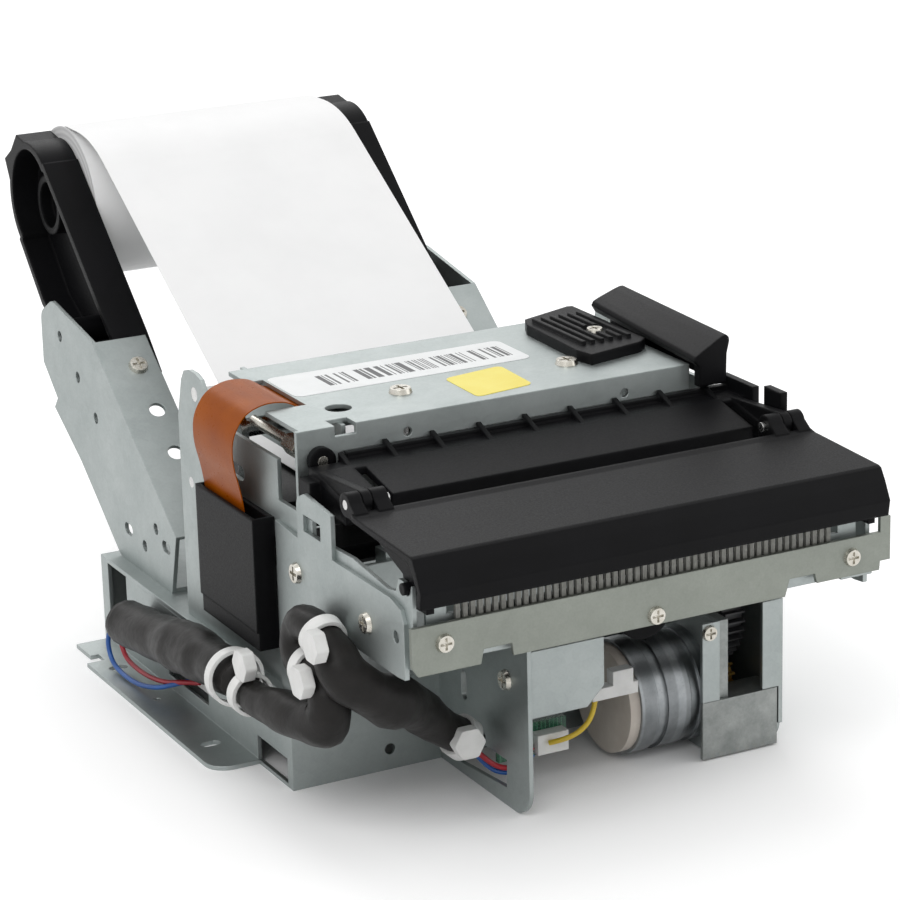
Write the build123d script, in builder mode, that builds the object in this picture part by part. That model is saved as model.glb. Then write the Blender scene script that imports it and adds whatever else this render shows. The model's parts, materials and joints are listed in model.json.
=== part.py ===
from build123d import *
import os
from math import atan2, cos, degrees, hypot, pi, radians, sin, sqrt, tan

os.makedirs("parts", exist_ok=True)

# Places are given as x to the right, depth behind the front bar and height above the floor.
# The origin of the files is on the floor, in the middle of the four mounting slots.
bar_to_mounts = 140.5


def side_plane(x):
    return Plane(origin=(x, -bar_to_mounts, 0), x_dir=(0, 1, 0), z_dir=(1, 0, 0))


def front_plane(depth):
    return Plane(origin=(0, depth - bar_to_mounts, 0), x_dir=(1, 0, 0), z_dir=(0, -1, 0))


def floor_plane(height):
    return Plane(origin=(0, -bar_to_mounts, height), x_dir=(1, 0, 0), z_dir=(0, 0, 1))


# An outline whose points are shares of a box with the given start and size
def spread(shares, start, size):
    return [(start[0] + across * size[0], start[1] + up * size[1]) for across, up in shares]


# A box from its six faces
def block(left, right, front, back, bottom, top, mode=Mode.ADD):
    with BuildSketch(floor_plane(bottom)) as face:
        with Locations(((left + right) / 2, (front + back) / 2)):
            Rectangle(right - left, back - front)
    extrude(face.sketch, amount=top - bottom, mode=mode)


# The same box on both sides of the middle
def pair_of_blocks(inner, outer, front, back, bottom, top, mode=Mode.ADD):
    block(inner, outer, front, back, bottom, top, mode)
    block(-outer, -inner, front, back, bottom, top, mode)


# A flat outline on a plane, made thick
def panel(plane, points, thickness, mode=Mode.ADD):
    with BuildSketch(plane) as face:
        Polygon(*points, align=None)
    extrude(face.sketch, amount=thickness, mode=mode)


# Rods or round holes that run along the normal of a plane
def rods(plane, places, radius, length, mode=Mode.ADD):
    with BuildSketch(plane) as face:
        with Locations(*places):
            Circle(radius)
    extrude(face.sketch, amount=length, mode=mode)


# Radii of the arcs at the corners of a route, which take their share of the shorter run beside each
arc_share = 0.45


def bend_radii(points):
    radii = []
    for before, corner, after in zip(points, points[1:], points[2:]):
        turn = (corner - before).get_angle(after - corner)
        shorter = min((corner - before).length, (after - corner).length)
        radii.append(arc_share * shorter / tan(radians(turn) / 2))
    return radii


# Overall sizes
sheet = 1.2
overrun = 2.0
sheet_gap = 0.1
running_gap = 0.05
bar_half = 66.5
inner_plate_x = 63.6
outer_plate_x = inner_plate_x + sheet
base_wall_x = outer_plate_x + sheet
base_half = base_wall_x + sheet
paper_width = 82.5
paper_left = -43.0
paper_right = paper_left + paper_width
paper_height = 71.0
paper_thickness = 0.15

# Pan-head screws with a cross recess
head_height_share = 0.42
recess_length_share = 1.3
recess_width_share = 0.26
shank_radius = 1.25
screw_hole_radius = shank_radius + sheet_gap
recess_depth = 0.7
head_taper = 18


def screw(seat, head_radius, shank_length):
    head_height = head_radius * head_height_share
    with BuildSketch(seat) as head:
        Circle(head_radius)
    extrude(head.sketch, amount=head_height, taper=head_taper)
    with BuildSketch(seat) as shank:
        Circle(shank_radius)
    extrude(shank.sketch, amount=-shank_length)
    with BuildSketch(seat.offset(head_height)) as recess:
        Rectangle(head_radius * recess_length_share, head_radius * recess_width_share)
        Rectangle(head_radius * recess_width_share, head_radius * recess_length_share)
    extrude(recess.sketch, amount=-recess_depth, mode=Mode.SUBTRACT)


# Base: a tray of folded sheet with two screw-down flanges and a deck on top of its walls
base_front = 70.0
base_back = 200.0
base_wall_top = 25.0
deck_top = base_wall_top + sheet
flange_reach = 80.5
flange_front = 91.0
flange_length = 90.0
flange_corner = 6.0
rear_tab_reach = 77.5
rear_tab_front = 186.0
rear_tab_back = 197.0
notch_reach = 75.0
slot_x = 74.0
slot_spread = 65.2
slot_radius = 1.7
slot_length = 5.5
pilot_depth = 145.0
pilot_radius = 1.0
wire_window = (124.0, 152.0, 5.0, 12.0)
front_window = (73.0, 92.0, 1.0, 8.0)
rear_window = (181.0, 195.0, 9.0, 25.0)
front_hole = (-39.0, 5.7)
front_hole_radius = 1.5
flange_end = flange_front + flange_length
deck_screw_places = [(-55, 96), (55, 96), (-30, 190), (30, 190)]
deck_screw_head = 2.6

with BuildPart() as base_tray:
    pair_of_blocks(base_wall_x, base_half, base_front, base_back, 0, base_wall_top)
    block(-base_half, base_half, base_front, base_front + sheet, 0, base_wall_top)
    block(-base_half, base_half, base_back - sheet, base_back, 0, base_wall_top)
    with BuildSketch(floor_plane(0)) as flange_sketch:
        for side in (-1, 1):
            inner = side * base_wall_x
            outer = side * flange_reach
            with Locations(((inner + outer) / 2, flange_front + flange_length / 2)):
                Rectangle(abs(outer - inner), flange_length)
            with Locations((side * (base_wall_x + notch_reach) / 2, (flange_end + rear_tab_front) / 2)):
                Rectangle(notch_reach - base_wall_x, rear_tab_front - flange_end)
            with Locations((side * (base_wall_x + rear_tab_reach) / 2, (rear_tab_front + rear_tab_back) / 2)):
                Rectangle(rear_tab_reach - base_wall_x, rear_tab_back - rear_tab_front)
        corners = flange_sketch.vertices().filter_by(lambda corner: abs(corner.X) > flange_reach - sheet_gap)
        fillet(corners.sort_by(Axis.Y)[:2], flange_corner)
        with Locations(*[
            (side * slot_x, bar_to_mounts + end * slot_spread / 2) for side in (-1, 1) for end in (-1, 1)
        ]):
            SlotOverall(slot_length, 2 * slot_radius, mode=Mode.SUBTRACT)
        with Locations((-slot_x, pilot_depth), (slot_x, pilot_depth)):
            Circle(pilot_radius, mode=Mode.SUBTRACT)
    extrude(amount=sheet)
    for front, back, bottom, top in (wire_window, front_window, rear_window):
        pair_of_blocks(base_wall_x - overrun, base_half + sheet_gap, front, back, bottom, top, Mode.SUBTRACT)
    rods(front_plane(base_front + sheet + overrun), [front_hole], front_hole_radius, 2 * overrun + sheet,
         Mode.SUBTRACT)

# Control board, which hangs from the deck on four posts, with its connectors
board_half = 52.0
board_front = 88.0
board_back = 184.0
board_height = 8.0
board_thickness = 1.6
board_post_radius = 2.5
board_post_inset = 6.0
board_top = board_height + board_thickness

with BuildPart() as base_deck:
    block(-base_half, base_half, base_front, base_back, base_wall_top, deck_top)
    post_x = board_half - board_post_inset
    rods(floor_plane(board_top),
         [(x, depth) for x in (-post_x, post_x)
          for depth in (board_front + board_post_inset, board_back - board_post_inset)],
         board_post_radius, base_wall_top - board_top)
    rods(floor_plane(deck_top + overrun), deck_screw_places, screw_hole_radius, -(sheet + 2 * overrun),
         Mode.SUBTRACT)

plug_outer = 65.6
plug_back = 136.0
plug_top = 11.0
foot_x = -24.0
board_depth = 40.0
small_board_right = -3.0
small_board_bottom = 9.0
small_board_top = 18.0
socket_rows = [(-40, 100), (-14, 100), (14, 100), (40, 100), (-20, 172), (20, 172)]
socket_width = 16.0
socket_depth = 6.0
socket_height = 7.0
chip_places = [(-22, 138), (18, 134)]
chip_width = 16.0
chip_height = 1.6

with BuildPart() as circuit_boards:
    block(-board_half, board_half, board_front, board_back, board_height, board_top)
    for x, depth in chip_places:
        block(x - chip_width / 2, x + chip_width / 2, depth - chip_width / 2, depth + chip_width / 2,
              board_top, board_top + chip_height)
    # Small board on the foot plate
    block(foot_x + sheet, small_board_right, board_depth, board_depth + board_thickness, small_board_bottom,
          small_board_top)

motor_depth = 48.5
motor_height = 16.5
motor_centre = (motor_depth, motor_height)
motor_left = 16.0
cap_radius = 14.6
cap_left = 13.0
connector_left = -0.5
connector_middle = 5.5
connector_right = 11.5
connector_front = 30.0
connector_back = 33.2
connector_bottom = 24.6
connector_top = 31.6
connector_bar = 3.2
connector_link = 9.0

with BuildPart() as white_fittings:
    for x, depth in socket_rows:
        block(x - socket_width / 2, x + socket_width / 2, depth - socket_depth / 2, depth + socket_depth / 2,
              board_top, board_top + socket_height)
    # The white plug in the side window and its socket on the edge of the board
    block(-plug_outer, -board_half, wire_window[0] + sheet_gap, plug_back, board_height - sheet, plug_top)
    # White connector on the motor's cap
    block(connector_middle, connector_right, connector_front, connector_back, connector_bottom, connector_top)
    block(connector_left, connector_middle, connector_front, connector_back, connector_bottom,
          connector_bottom + connector_bar)
    block(connector_right, cap_left - sheet_gap, connector_front, connector_back + connector_link,
          connector_bottom, connector_bottom + connector_bar)
    # White plug on the small board
    block(foot_x + 9 * sheet, small_board_right - sheet, board_depth - 3 * sheet, board_depth,
          small_board_bottom + sheet, small_board_top - 2 * sheet)
    rods(side_plane(cap_left - overrun), [motor_centre], cap_radius, motor_left - cap_left + 2 * overrun,
         Mode.SUBTRACT)

bar_top = 67.0
bar_bottom = 54.7
bar_rise = bar_top - bar_bottom
bar_screw_x = 57.8
bar_screw_height = 62.0

# Side plates: the inner pair carries the platen, the head hinge and the cover hooks
front_flange_inner = 55.5
front_flange_bottom = 56.0
front_flange_top = 66.0
plate_length = 140.0
plate_height = 98.0
plate_front = sheet
inner_outline_shares = [
    (0.000, 0.571), (0.000, 0.673), (0.009, 0.673), (0.009, 0.782), (0.058, 0.782), (0.070, 0.745),
    (0.104, 0.737), (0.237, 0.757), (0.399, 0.747), (0.399, 0.789), (0.541, 0.787), (0.541, 0.898),
    (0.840, 0.898), (0.862, 0.960), (0.880, 0.990), (0.905, 1.000), (0.935, 1.000), (0.960, 0.990),
    (0.975, 0.960), (0.998, 0.850), (0.998, 0.2674), (0.491, 0.2674), (0.456, 0.2900), (0.290, 0.5450),
    (0.054, 0.550),
]
outer_outline_shares = [
    (0.027, 0.535), (0.027, 0.679), (0.039, 0.712), (0.076, 0.727), (0.303, 0.726),
    (0.303, 0.841), (0.328, 0.845), (0.413, 0.856), (0.440, 0.838), (0.445, 0.820), (0.445, 0.725),
    (0.541, 0.735),
    (0.541, 0.2674), (0.491, 0.2674), (0.456, 0.2800), (0.290, 0.5310), (0.054, 0.531),
]
platen_depth = 82.0
platen_height = 62.55
bush_radius = 4.5
hinge_depth = 129.0
hinge_height = 92.0
hinge_radius = 2.0
plate_screw_places = [(64.7, 61.4), (24.9, 60.7)]
plate_screw_head = 2.8
tab_window = (54.8, 76.2)
tab_window_length = 10.0
tab_window_height = 4.4
rivet_hole = (9.2, 62.2)
rivet_hole_radius = 1.6
ear_slot = (104.0, 78.0)
ear_slot_length = 12.0
ear_slot_width = 4.0
cover_pin_depth = 5.2
cover_pin_height = 75.4
cover_pin_radius = 1.5
hook_radius = cover_pin_radius + 3 * sheet_gap
hook_run = 7.0
catch_depth = 112.0
catch_height = 70.0
catch_radius = 1.5
catch_inner = 58.5
rear_bed_half = 57.0
guide_pin_places = [(124.0, 66.0), (134.0, 66.0)]
cover_hinge_depth = 36.0
cover_hinge_height = 87.5
hook_lean = degrees(atan2(cover_hinge_height - cover_pin_height, cover_hinge_depth - cover_pin_depth))

with BuildPart() as left_inner_plate:
    inner_points = spread(inner_outline_shares, (plate_front, 0), (plate_length, plate_height))
    with BuildSketch(side_plane(-outer_plate_x)):
        Polygon(*inner_points, align=None)
        with Locations((platen_depth, platen_height)):
            Circle(bush_radius + running_gap, mode=Mode.SUBTRACT)
        with Locations((hinge_depth, hinge_height)):
            Circle(hinge_radius + running_gap, mode=Mode.SUBTRACT)
        with Locations(*plate_screw_places):
            Circle(screw_hole_radius, mode=Mode.SUBTRACT)
        with Locations(rivet_hole):
            Circle(rivet_hole_radius, mode=Mode.SUBTRACT)
        with Locations(ear_slot):
            SlotOverall(ear_slot_length, ear_slot_width, mode=Mode.SUBTRACT)
        with Locations((catch_depth, catch_height), *guide_pin_places):
            Circle(catch_radius, mode=Mode.SUBTRACT)
        hook_tip = (
            cover_pin_depth - hook_run * sin(radians(hook_lean)),
            cover_pin_height + hook_run * cos(radians(hook_lean)),
        )
        hook_middle = ((cover_pin_depth + hook_tip[0]) / 2, (cover_pin_height + hook_tip[1]) / 2)
        with Locations(Location((*hook_middle, 0), (0, 0, 90 + hook_lean))):
            SlotOverall(hook_run + 2 * hook_radius, 2 * hook_radius, mode=Mode.SUBTRACT)
    extrude(amount=sheet)
    block(-inner_plate_x, -front_flange_inner, plate_front, plate_front + sheet,
          front_flange_bottom, front_flange_top)
    rods(front_plane(plate_front + overrun), [(-bar_screw_x, bar_screw_height)], screw_hole_radius,
         2 * overrun, Mode.SUBTRACT)

with BuildPart() as right_inner_plate:
    mirror(left_inner_plate.part, about=Plane.YZ)

with BuildPart() as left_outer_plate:
    outer_points = spread(outer_outline_shares, (plate_front, 0), (plate_length, plate_height))
    with BuildSketch(side_plane(-base_wall_x)):
        Polygon(*outer_points, align=None)
        with Locations(tab_window):
            Rectangle(tab_window_length, tab_window_height, mode=Mode.SUBTRACT)
        with Locations(*plate_screw_places):
            Circle(screw_hole_radius, mode=Mode.SUBTRACT)
        with Locations(rivet_hole):
            Circle(rivet_hole_radius, mode=Mode.SUBTRACT)
    extrude(amount=sheet)

with BuildPart() as right_outer_plate:
    mirror(left_outer_plate.part, about=Plane.YZ)

# Front bar with its notched lower edge and the ear at its right end
bar_outline_shares = [
    (0.000, 0.20), (0.012, 0.00), (0.138, 0.00), (0.144, 0.30), (0.202, 0.30), (0.205, 0.04),
    (0.785, 0.04), (0.795, 0.40), (0.852, 0.40), (0.857, 0.19), (0.998, 0.19), (1.000, 0.40),
    (1.000, 1.00), (0.000, 1.00),
]
bar_ear_width = 3.0
bar_ear_bottom = 59.4
bar_ear_top = 71.0
bar_screw_places = [(-bar_screw_x, bar_screw_height), (0.4, 57.6), (bar_screw_x, bar_screw_height)]
bar_screw_head = 2.4

with BuildPart() as front_bar:
    with BuildSketch(front_plane(sheet)):
        Polygon(*spread(bar_outline_shares, (-bar_half, bar_bottom), (2 * bar_half, bar_rise)), align=None)
        with Locations(*bar_screw_places):
            Circle(screw_hole_radius, mode=Mode.SUBTRACT)
    extrude(amount=sheet)
    block(bar_half, bar_half + bar_ear_width, 0, sheet, bar_ear_bottom, bar_ear_top)

# Antistatic brush: bristles that stand in a strip behind the bar
brush_left = -54.7
brush_right = 53.3
brush_backing = 1.8
brush_bottom = 60.0
bristle_foot = 66.0
bristle_tip = 73.0
tuft_count = 52
tuft_pitch = 2.06
strand_radius = 0.26
strand_pitch = 0.4
strand_rows = 2
strands_in_row = 3
brush_back = sheet + brush_backing

with BuildPart() as antistatic_brush:
    block(brush_left, brush_right, sheet, brush_back, brush_bottom, bristle_foot)
    brush_middle = ((brush_left + brush_right) / 2, sheet + brush_backing / 2)
    with BuildSketch(floor_plane(bristle_foot)):
        with Locations(brush_middle):
            with GridLocations(tuft_pitch, 0, tuft_count, 1):
                with GridLocations(strand_pitch, 2 * strand_pitch, strands_in_row, strand_rows):
                    RegularPolygon(strand_radius, 5)
    extrude(amount=bristle_tip - bristle_foot)

holder_half = 61.0
holder_bottom = 56.0
holder_top = 68.0
holder_end_top = 72.0
holder_thickness = 1.0

with BuildPart() as brush_holder:
    block(-holder_half, holder_half, brush_back, brush_back + holder_thickness, holder_bottom, holder_top)
    pair_of_blocks(front_flange_inner, holder_half, brush_back, brush_back + holder_thickness,
                   holder_top, holder_end_top)
    # Spacer feet that lie on the flanges of the side plates
    pair_of_blocks(front_flange_inner, holder_half, plate_front + sheet, brush_back,
                   front_flange_bottom, front_flange_top)
    for x, height in bar_screw_places:
        rods(front_plane(brush_back + overrun), [(x, height)], screw_hole_radius, 2 * overrun, Mode.SUBTRACT)

# Exit cover: a thin hood with two cheeks, hooks and barrels
cover_half = 66.0
cover_outer = [
    (-4.0, 72.8), (-4.7, 77.0), (-2.4, 81.6), (-0.6, 84.5), (0.5, 84.9), (29.0, 86.0), (31.5, 86.6),
]
cover_wall = 2.0
cheek_outer = inner_plate_x - 3 * sheet_gap
cheek_inner = cheek_outer - cover_wall
cheek_foot = 70.7
cheek_back = 8.0
barrel_radius = 3.0
hinge_pin_radius = 1.25
arm_inner = 59.3
arm_outer = 61.7
arm_gap = 0.3
barrel_inner = 55.0
barrel_outer = 65.5
cover_skin_back = cover_outer[-1][0]

with BuildPart() as exit_cover:
    cover_inner = [
        (cover_outer[0][0] + cover_wall, cover_outer[0][1]),
        (cover_outer[1][0] + cover_wall, cover_outer[1][1]),
        (cover_outer[2][0] + cover_wall, cover_outer[2][1] - cover_wall / 2),
        (cover_outer[4][0] + cover_wall / 2, cover_outer[4][1] - cover_wall),
        (cover_outer[6][0], cover_outer[6][1] - cover_wall),
    ]
    panel(side_plane(-cover_half), cover_outer + cover_inner[::-1], 2 * cover_half)
    cheek = [
        cover_inner[1], cover_inner[2], cover_inner[3], cover_inner[4],
        (cheek_back + cover_wall, cover_pin_height + cover_wall),
        (cheek_back, cheek_foot), (cover_inner[0][0], cheek_foot), cover_inner[0],
    ]
    for inner in (cheek_inner, -cheek_outer):
        panel(side_plane(inner), cheek, cover_wall)
    # Nubs that rest in the hooks of the side plates
    for start, length in ((cheek_outer, 1), (-cheek_outer, -1)):
        rods(side_plane(start), [(cover_pin_depth, cover_pin_height)], cover_pin_radius,
             length * (base_wall_x - cheek_outer))
    # Barrels on both sides of each arm of the cutter guide
    for inner, outer in ((barrel_inner, arm_inner - arm_gap), (arm_outer + arm_gap, barrel_outer)):
        for start in (inner, -outer):
            with BuildSketch(side_plane(start)):
                with Locations((cover_hinge_depth, cover_hinge_height)):
                    Circle(barrel_radius)
                Polygon((cover_skin_back - sheet, cover_outer[-1][1]),
                        (cover_hinge_depth, cover_hinge_height + barrel_radius),
                        (cover_hinge_depth, cover_hinge_height - barrel_radius),
                        (cover_skin_back - sheet, cover_outer[-1][1] - cover_wall), align=None)
                with Locations((cover_hinge_depth, cover_hinge_height)):
                    Circle(hinge_pin_radius + running_gap, mode=Mode.SUBTRACT)
            extrude(amount=outer - inner)

with BuildPart() as hinge_pins:
    for start in (barrel_inner - sheet, -barrel_outer):
        rods(side_plane(start), [(cover_hinge_depth, cover_hinge_height)], hinge_pin_radius,
             barrel_outer - barrel_inner + sheet)
    rods(side_plane(-outer_plate_x), [(hinge_depth, hinge_height)], hinge_radius, 2 * outer_plate_x)
    # Studs that the head latch hooks under, and the pins that carry the lower paper guide
    for start in (-outer_plate_x, catch_inner):
        rods(side_plane(start), [(catch_depth, catch_height)], catch_radius, outer_plate_x - catch_inner)
    for start in (-outer_plate_x, rear_bed_half):
        rods(side_plane(start), guide_pin_places, catch_radius, outer_plate_x - rear_bed_half)

# Cutter guide: the ribbed black moulding behind the cover, which carries the fixed blade
guide_left = -62.0
guide_right = 63.4
guide_top = 88.8
guide_wall = 2.0
guide_outer = [(43.0, 79.5), (43.0, 85.5), (59.5, 88.8), (67.6, 88.8)]
guide_inner = [(67.6, 86.8), (59.7, 86.8), (45.0, 83.9), (45.0, 79.5)]
guide_slots = [(-52.0, -49.0), (56.0, 59.0)]
guide_slot_back = 58.0
gusset_count = 9
gusset_pitch = 13.5
gusset_start = -52.3
gusset_thickness = 1.3
gusset_rise = 2.7
gusset_run = 7.2
guide_lip_rise = 1.4
guide_block_bottom = 77.4
guide_block_inner = 52.0
guide_block_front = 57.5
guide_block_back = 64.0
inner_plate_step = 77.35
blade_half = 46.0
blade_wall_front = 48.0
blade_wall_bottom = 78.0
blade_wall_top = 85.0
fixed_blade_bottom = 74.0
fixed_blade_top = 83.0
blade_thickness = 1.0
tab_inner = 62.6
tab_outer = 64.6
tab_rear = (53.5, 69.0, 92.5)
tab_front = (40.0, 48.0, 94.2)
exit_notch_places = [(-6.0, 10.0), (34.0, 8.0)]
exit_notch_height = 82.0
bush_notch_right = -53.2
ear_notch_right = -50.4
ear_notch_front = 65.6

with BuildPart() as cutter_guide:
    panel(side_plane(guide_left), guide_outer + guide_inner, guide_right - guide_left)
    for left, right in guide_slots:
        block(left, right, guide_outer[0][0] - overrun, guide_slot_back, guide_block_bottom, guide_top,
              Mode.SUBTRACT)
    for centre, width in exit_notch_places:
        block(centre - width / 2, centre + width / 2, guide_outer[0][0] - overrun, guide_inner[-1][0],
              guide_outer[0][1] - overrun, exit_notch_height, Mode.SUBTRACT)
    for count in range(gusset_count):
        gusset_x = gusset_start + count * gusset_pitch
        gusset_back = guide_outer[-1][0]
        panel(side_plane(gusset_x - gusset_thickness / 2),
              [(gusset_back - gusset_run, guide_top), (gusset_back, guide_top),
               (gusset_back, guide_top + gusset_rise)], gusset_thickness)
    # Low lip under the flange of the head's top plate
    block(guide_left, guide_right, guide_outer[-1][0] - guide_wall, guide_outer[-1][0], guide_top,
          guide_top + guide_lip_rise)
    # End blocks that stand on the side plates
    block(-inner_plate_x, -guide_block_inner, guide_block_front, guide_block_back, guide_block_bottom,
          guide_inner[0][1])
    block(arm_inner, inner_plate_x, guide_block_front, guide_block_back, guide_block_bottom, guide_top)
    pair_of_blocks(inner_plate_x - sheet, outer_plate_x, guide_block_front, guide_block_back,
                   inner_plate_step, guide_inner[0][1])
    # Room for the bush of the print head unit
    block(guide_left - overrun, bush_notch_right, guide_block_back, guide_outer[-1][0] + overrun,
          guide_block_bottom, guide_top + overrun, Mode.SUBTRACT)
    # Room for the ear of the head unit's top plate when the head swings open
    block(bush_notch_right - overrun, ear_notch_right, ear_notch_front, guide_outer[-1][0] + overrun,
          guide_block_bottom, guide_top + gusset_rise + overrun, Mode.SUBTRACT)
    # Arms with the bores of the cover's hinge pins
    for start in (arm_inner, -arm_outer):
        with BuildSketch(side_plane(start)):
            with Locations((cover_hinge_depth, cover_hinge_height)):
                Circle(barrel_radius)
            Polygon((cover_hinge_depth, cover_hinge_height + barrel_radius),
                    (guide_outer[2][0], guide_outer[2][1]), (guide_outer[2][0], guide_outer[0][1]),
                    (guide_outer[0][0], guide_outer[0][1]),
                    (cover_hinge_depth, cover_hinge_height - barrel_radius), align=None)
            with Locations((cover_hinge_depth, cover_hinge_height)):
                Circle(hinge_pin_radius + running_gap, mode=Mode.SUBTRACT)
        extrude(amount=arm_outer - arm_inner)
    # Wall that the fixed blade is screwed to
    block(-blade_half, blade_half, blade_wall_front, blade_wall_front + guide_wall, blade_wall_bottom,
          blade_wall_top)
    # Upright tabs at the right end
    for front, back, top in (tab_rear, tab_front):
        block(tab_inner, tab_outer, front, back, guide_outer[1][1], top)

fixed_blade_front = blade_wall_front + guide_wall
blade_gap = 0.1
moving_blade_front = fixed_blade_front + blade_thickness + blade_gap
moving_blade_back = moving_blade_front + blade_thickness
moving_blade_bottom = 56.0
moving_blade_top = 68.0
cutter_stroke = 8.0
tooth_module = 0.8

with BuildPart() as fixed_blade:
    block(-blade_half, blade_half, fixed_blade_front, fixed_blade_front + blade_thickness,
          fixed_blade_bottom, fixed_blade_top)


# Involute-like teeth, thinner than the gaps, so that the gears run free at every angle
tip_width_share = 0.20
pitch_width_share = 0.38
root_width_share = 0.46
tip_reach_share = 0.9
root_depth_share = 1.2


def gear_points(teeth, phase):
    pitch_radius = teeth * tooth_module / 2
    tip = pitch_radius + tip_reach_share * tooth_module
    root = pitch_radius - root_depth_share * tooth_module
    step = 2 * pi / teeth
    points = []
    for tooth in range(teeth):
        centre = radians(phase) + tooth * step
        for radius, width in ((root, -root_width_share), (pitch_radius, -pitch_width_share),
                              (tip, -tip_width_share), (tip, tip_width_share),
                              (pitch_radius, pitch_width_share), (root, root_width_share)):
            angle = centre + width * step / 2
            points.append((radius * cos(angle), radius * sin(angle)))
    return points


def gear(plane, centre, teeth, phase, width, bore):
    with BuildSketch(plane) as face:
        with Locations(centre):
            Polygon(*gear_points(teeth, phase), align=None)
            if bore:
                Circle(bore, mode=Mode.SUBTRACT)
    extrude(face.sketch, amount=width)


# Where the second gear has a tooth when the first one has its own at the given phase
def meshed_phase(first_phase, first_teeth, second_teeth, direction):
    share = ((direction - first_phase) * first_teeth / 360) % 1
    return direction + 180 + (share + 0.5) * 360 / second_teeth


# Cutter: a plate between the side plates carries the motor and the guides of the moving blade
cutter_plate_front = 46.0
cutter_plate_back = cutter_plate_front + sheet
cutter_plate_bottom = 52.0
cutter_plate_top = 67.0
cutter_teeth = 12
cutter_pitch_radius = cutter_teeth * tooth_module / 2
cutter_x = 12.0
cutter_height = 49.0
cutter_motor_radius = 8.0
cutter_motor_length = 21.0
cutter_shaft_radius = 1.0
cutter_pinion_front = moving_blade_front - sheet / 2
cutter_pinion_width = 2 * sheet
motor_tab_half = 11.0
motor_tab_bottom = 39.0
rail_inner = 44.5
rail_outer = 49.5
rail_bottom = 54.0
rail_top = 69.0
rail_back = 53.2
rack_x = cutter_x - cutter_pitch_radius
rack_width = 6.0
rack_teeth = 6
rack_bottom = cutter_height - cutter_stroke - 1.2 * pi * tooth_module

with BuildPart() as cutter_plate:
    block(-inner_plate_x, inner_plate_x, cutter_plate_front, cutter_plate_back, cutter_plate_bottom,
          cutter_plate_top)
    block(cutter_x - motor_tab_half, cutter_x + motor_tab_half, cutter_plate_front, cutter_plate_back,
          motor_tab_bottom, cutter_plate_bottom)
    pair_of_blocks(rail_inner, rail_outer, cutter_plate_back, rail_back, rail_bottom, rail_top)
    pair_of_blocks(rail_inner - sheet_gap, blade_half + sheet_gap, moving_blade_front - sheet_gap / 2,
                   moving_blade_back + sheet_gap / 2, rail_bottom - overrun, rail_top + overrun, Mode.SUBTRACT)
    rods(front_plane(cutter_plate_back + overrun), [(cutter_x, cutter_height)],
         cutter_shaft_radius + sheet_gap, 2 * overrun + sheet, Mode.SUBTRACT)

with BuildPart() as cutter_motor:
    rods(front_plane(cutter_plate_front), [(cutter_x, cutter_height)], cutter_motor_radius,
         cutter_motor_length)
    rods(front_plane(cutter_plate_front), [(cutter_x, cutter_height)], cutter_shaft_radius + running_gap,
         cutter_motor_length / 2, Mode.SUBTRACT)

with BuildPart() as cutter_pinion:
    gear(front_plane(cutter_pinion_front + cutter_pinion_width), (cutter_x, cutter_height), cutter_teeth,
         180, cutter_pinion_width, 0)
    rods(front_plane(cutter_pinion_front), [(cutter_x, cutter_height)], cutter_shaft_radius,
         cutter_pinion_front - cutter_plate_front + cutter_motor_length / 3)

with BuildPart() as moving_blade:
    block(-blade_half, blade_half, moving_blade_front, moving_blade_back, moving_blade_bottom, moving_blade_top)
    rack_pitch = pi * tooth_module
    rack_root = rack_x - root_depth_share * tooth_module
    block(rack_root - rack_width, rack_root, moving_blade_front, moving_blade_back, rack_bottom,
          moving_blade_bottom)
    # Teeth of the rack, with a gap where the pinion has its tooth at rest
    for tooth in range(-rack_teeth + 2, 2):
        tooth_height = cutter_height + (tooth - 0.5) * rack_pitch
        panel(front_plane(moving_blade_back),
              [(rack_root - sheet_gap, tooth_height - root_width_share * rack_pitch / 2),
               (rack_x, tooth_height - pitch_width_share * rack_pitch / 2),
               (rack_x + tip_reach_share * tooth_module, tooth_height - tip_width_share * rack_pitch / 2),
               (rack_x + tip_reach_share * tooth_module, tooth_height + tip_width_share * rack_pitch / 2),
               (rack_x, tooth_height + pitch_width_share * rack_pitch / 2),
               (rack_root - sheet_gap, tooth_height + root_width_share * rack_pitch / 2)], blade_thickness)

# Beds that carry the paper in front of and behind the platen
bed_top = paper_height - 1.1
bed_bottom = 66.0
bed_front = 53.6
bed_back = 71.0
guide_bottom = 62.0
rear_bed_front = 93.5
rear_bed_back = 140.0
rear_bed_wall = 2.5
sensor_half = 9.0
sensor_front = 104.0
sensor_back = 114.0
sensor_drop = 6.0

with BuildPart() as cutter_bed:
    block(-inner_plate_x, inner_plate_x, bed_front, bed_back, bed_bottom, bed_top)

with BuildPart() as lower_paper_guide:
    block(-rear_bed_half, rear_bed_half, rear_bed_front, rear_bed_back, guide_bottom, bed_top)
    block(rear_bed_wall - rear_bed_half, rear_bed_half - rear_bed_wall, rear_bed_front + rear_bed_wall,
          rear_bed_back - rear_bed_wall, guide_bottom - overrun, bed_top - rear_bed_wall, Mode.SUBTRACT)
    block(-sensor_half - sheet_gap, sensor_half + sheet_gap, sensor_front - sheet_gap,
          sensor_back + sheet_gap, guide_bottom, bed_top + overrun, Mode.SUBTRACT)

with BuildPart() as paper_sensor:
    block(-sensor_half, sensor_half, sensor_front, sensor_back, bed_top - sensor_drop, bed_top)
    block(-sensor_half - sheet, sensor_half + sheet, sensor_front - sheet, sensor_back + sheet,
          bed_top - rear_bed_wall - sheet, bed_top - rear_bed_wall)

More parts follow.
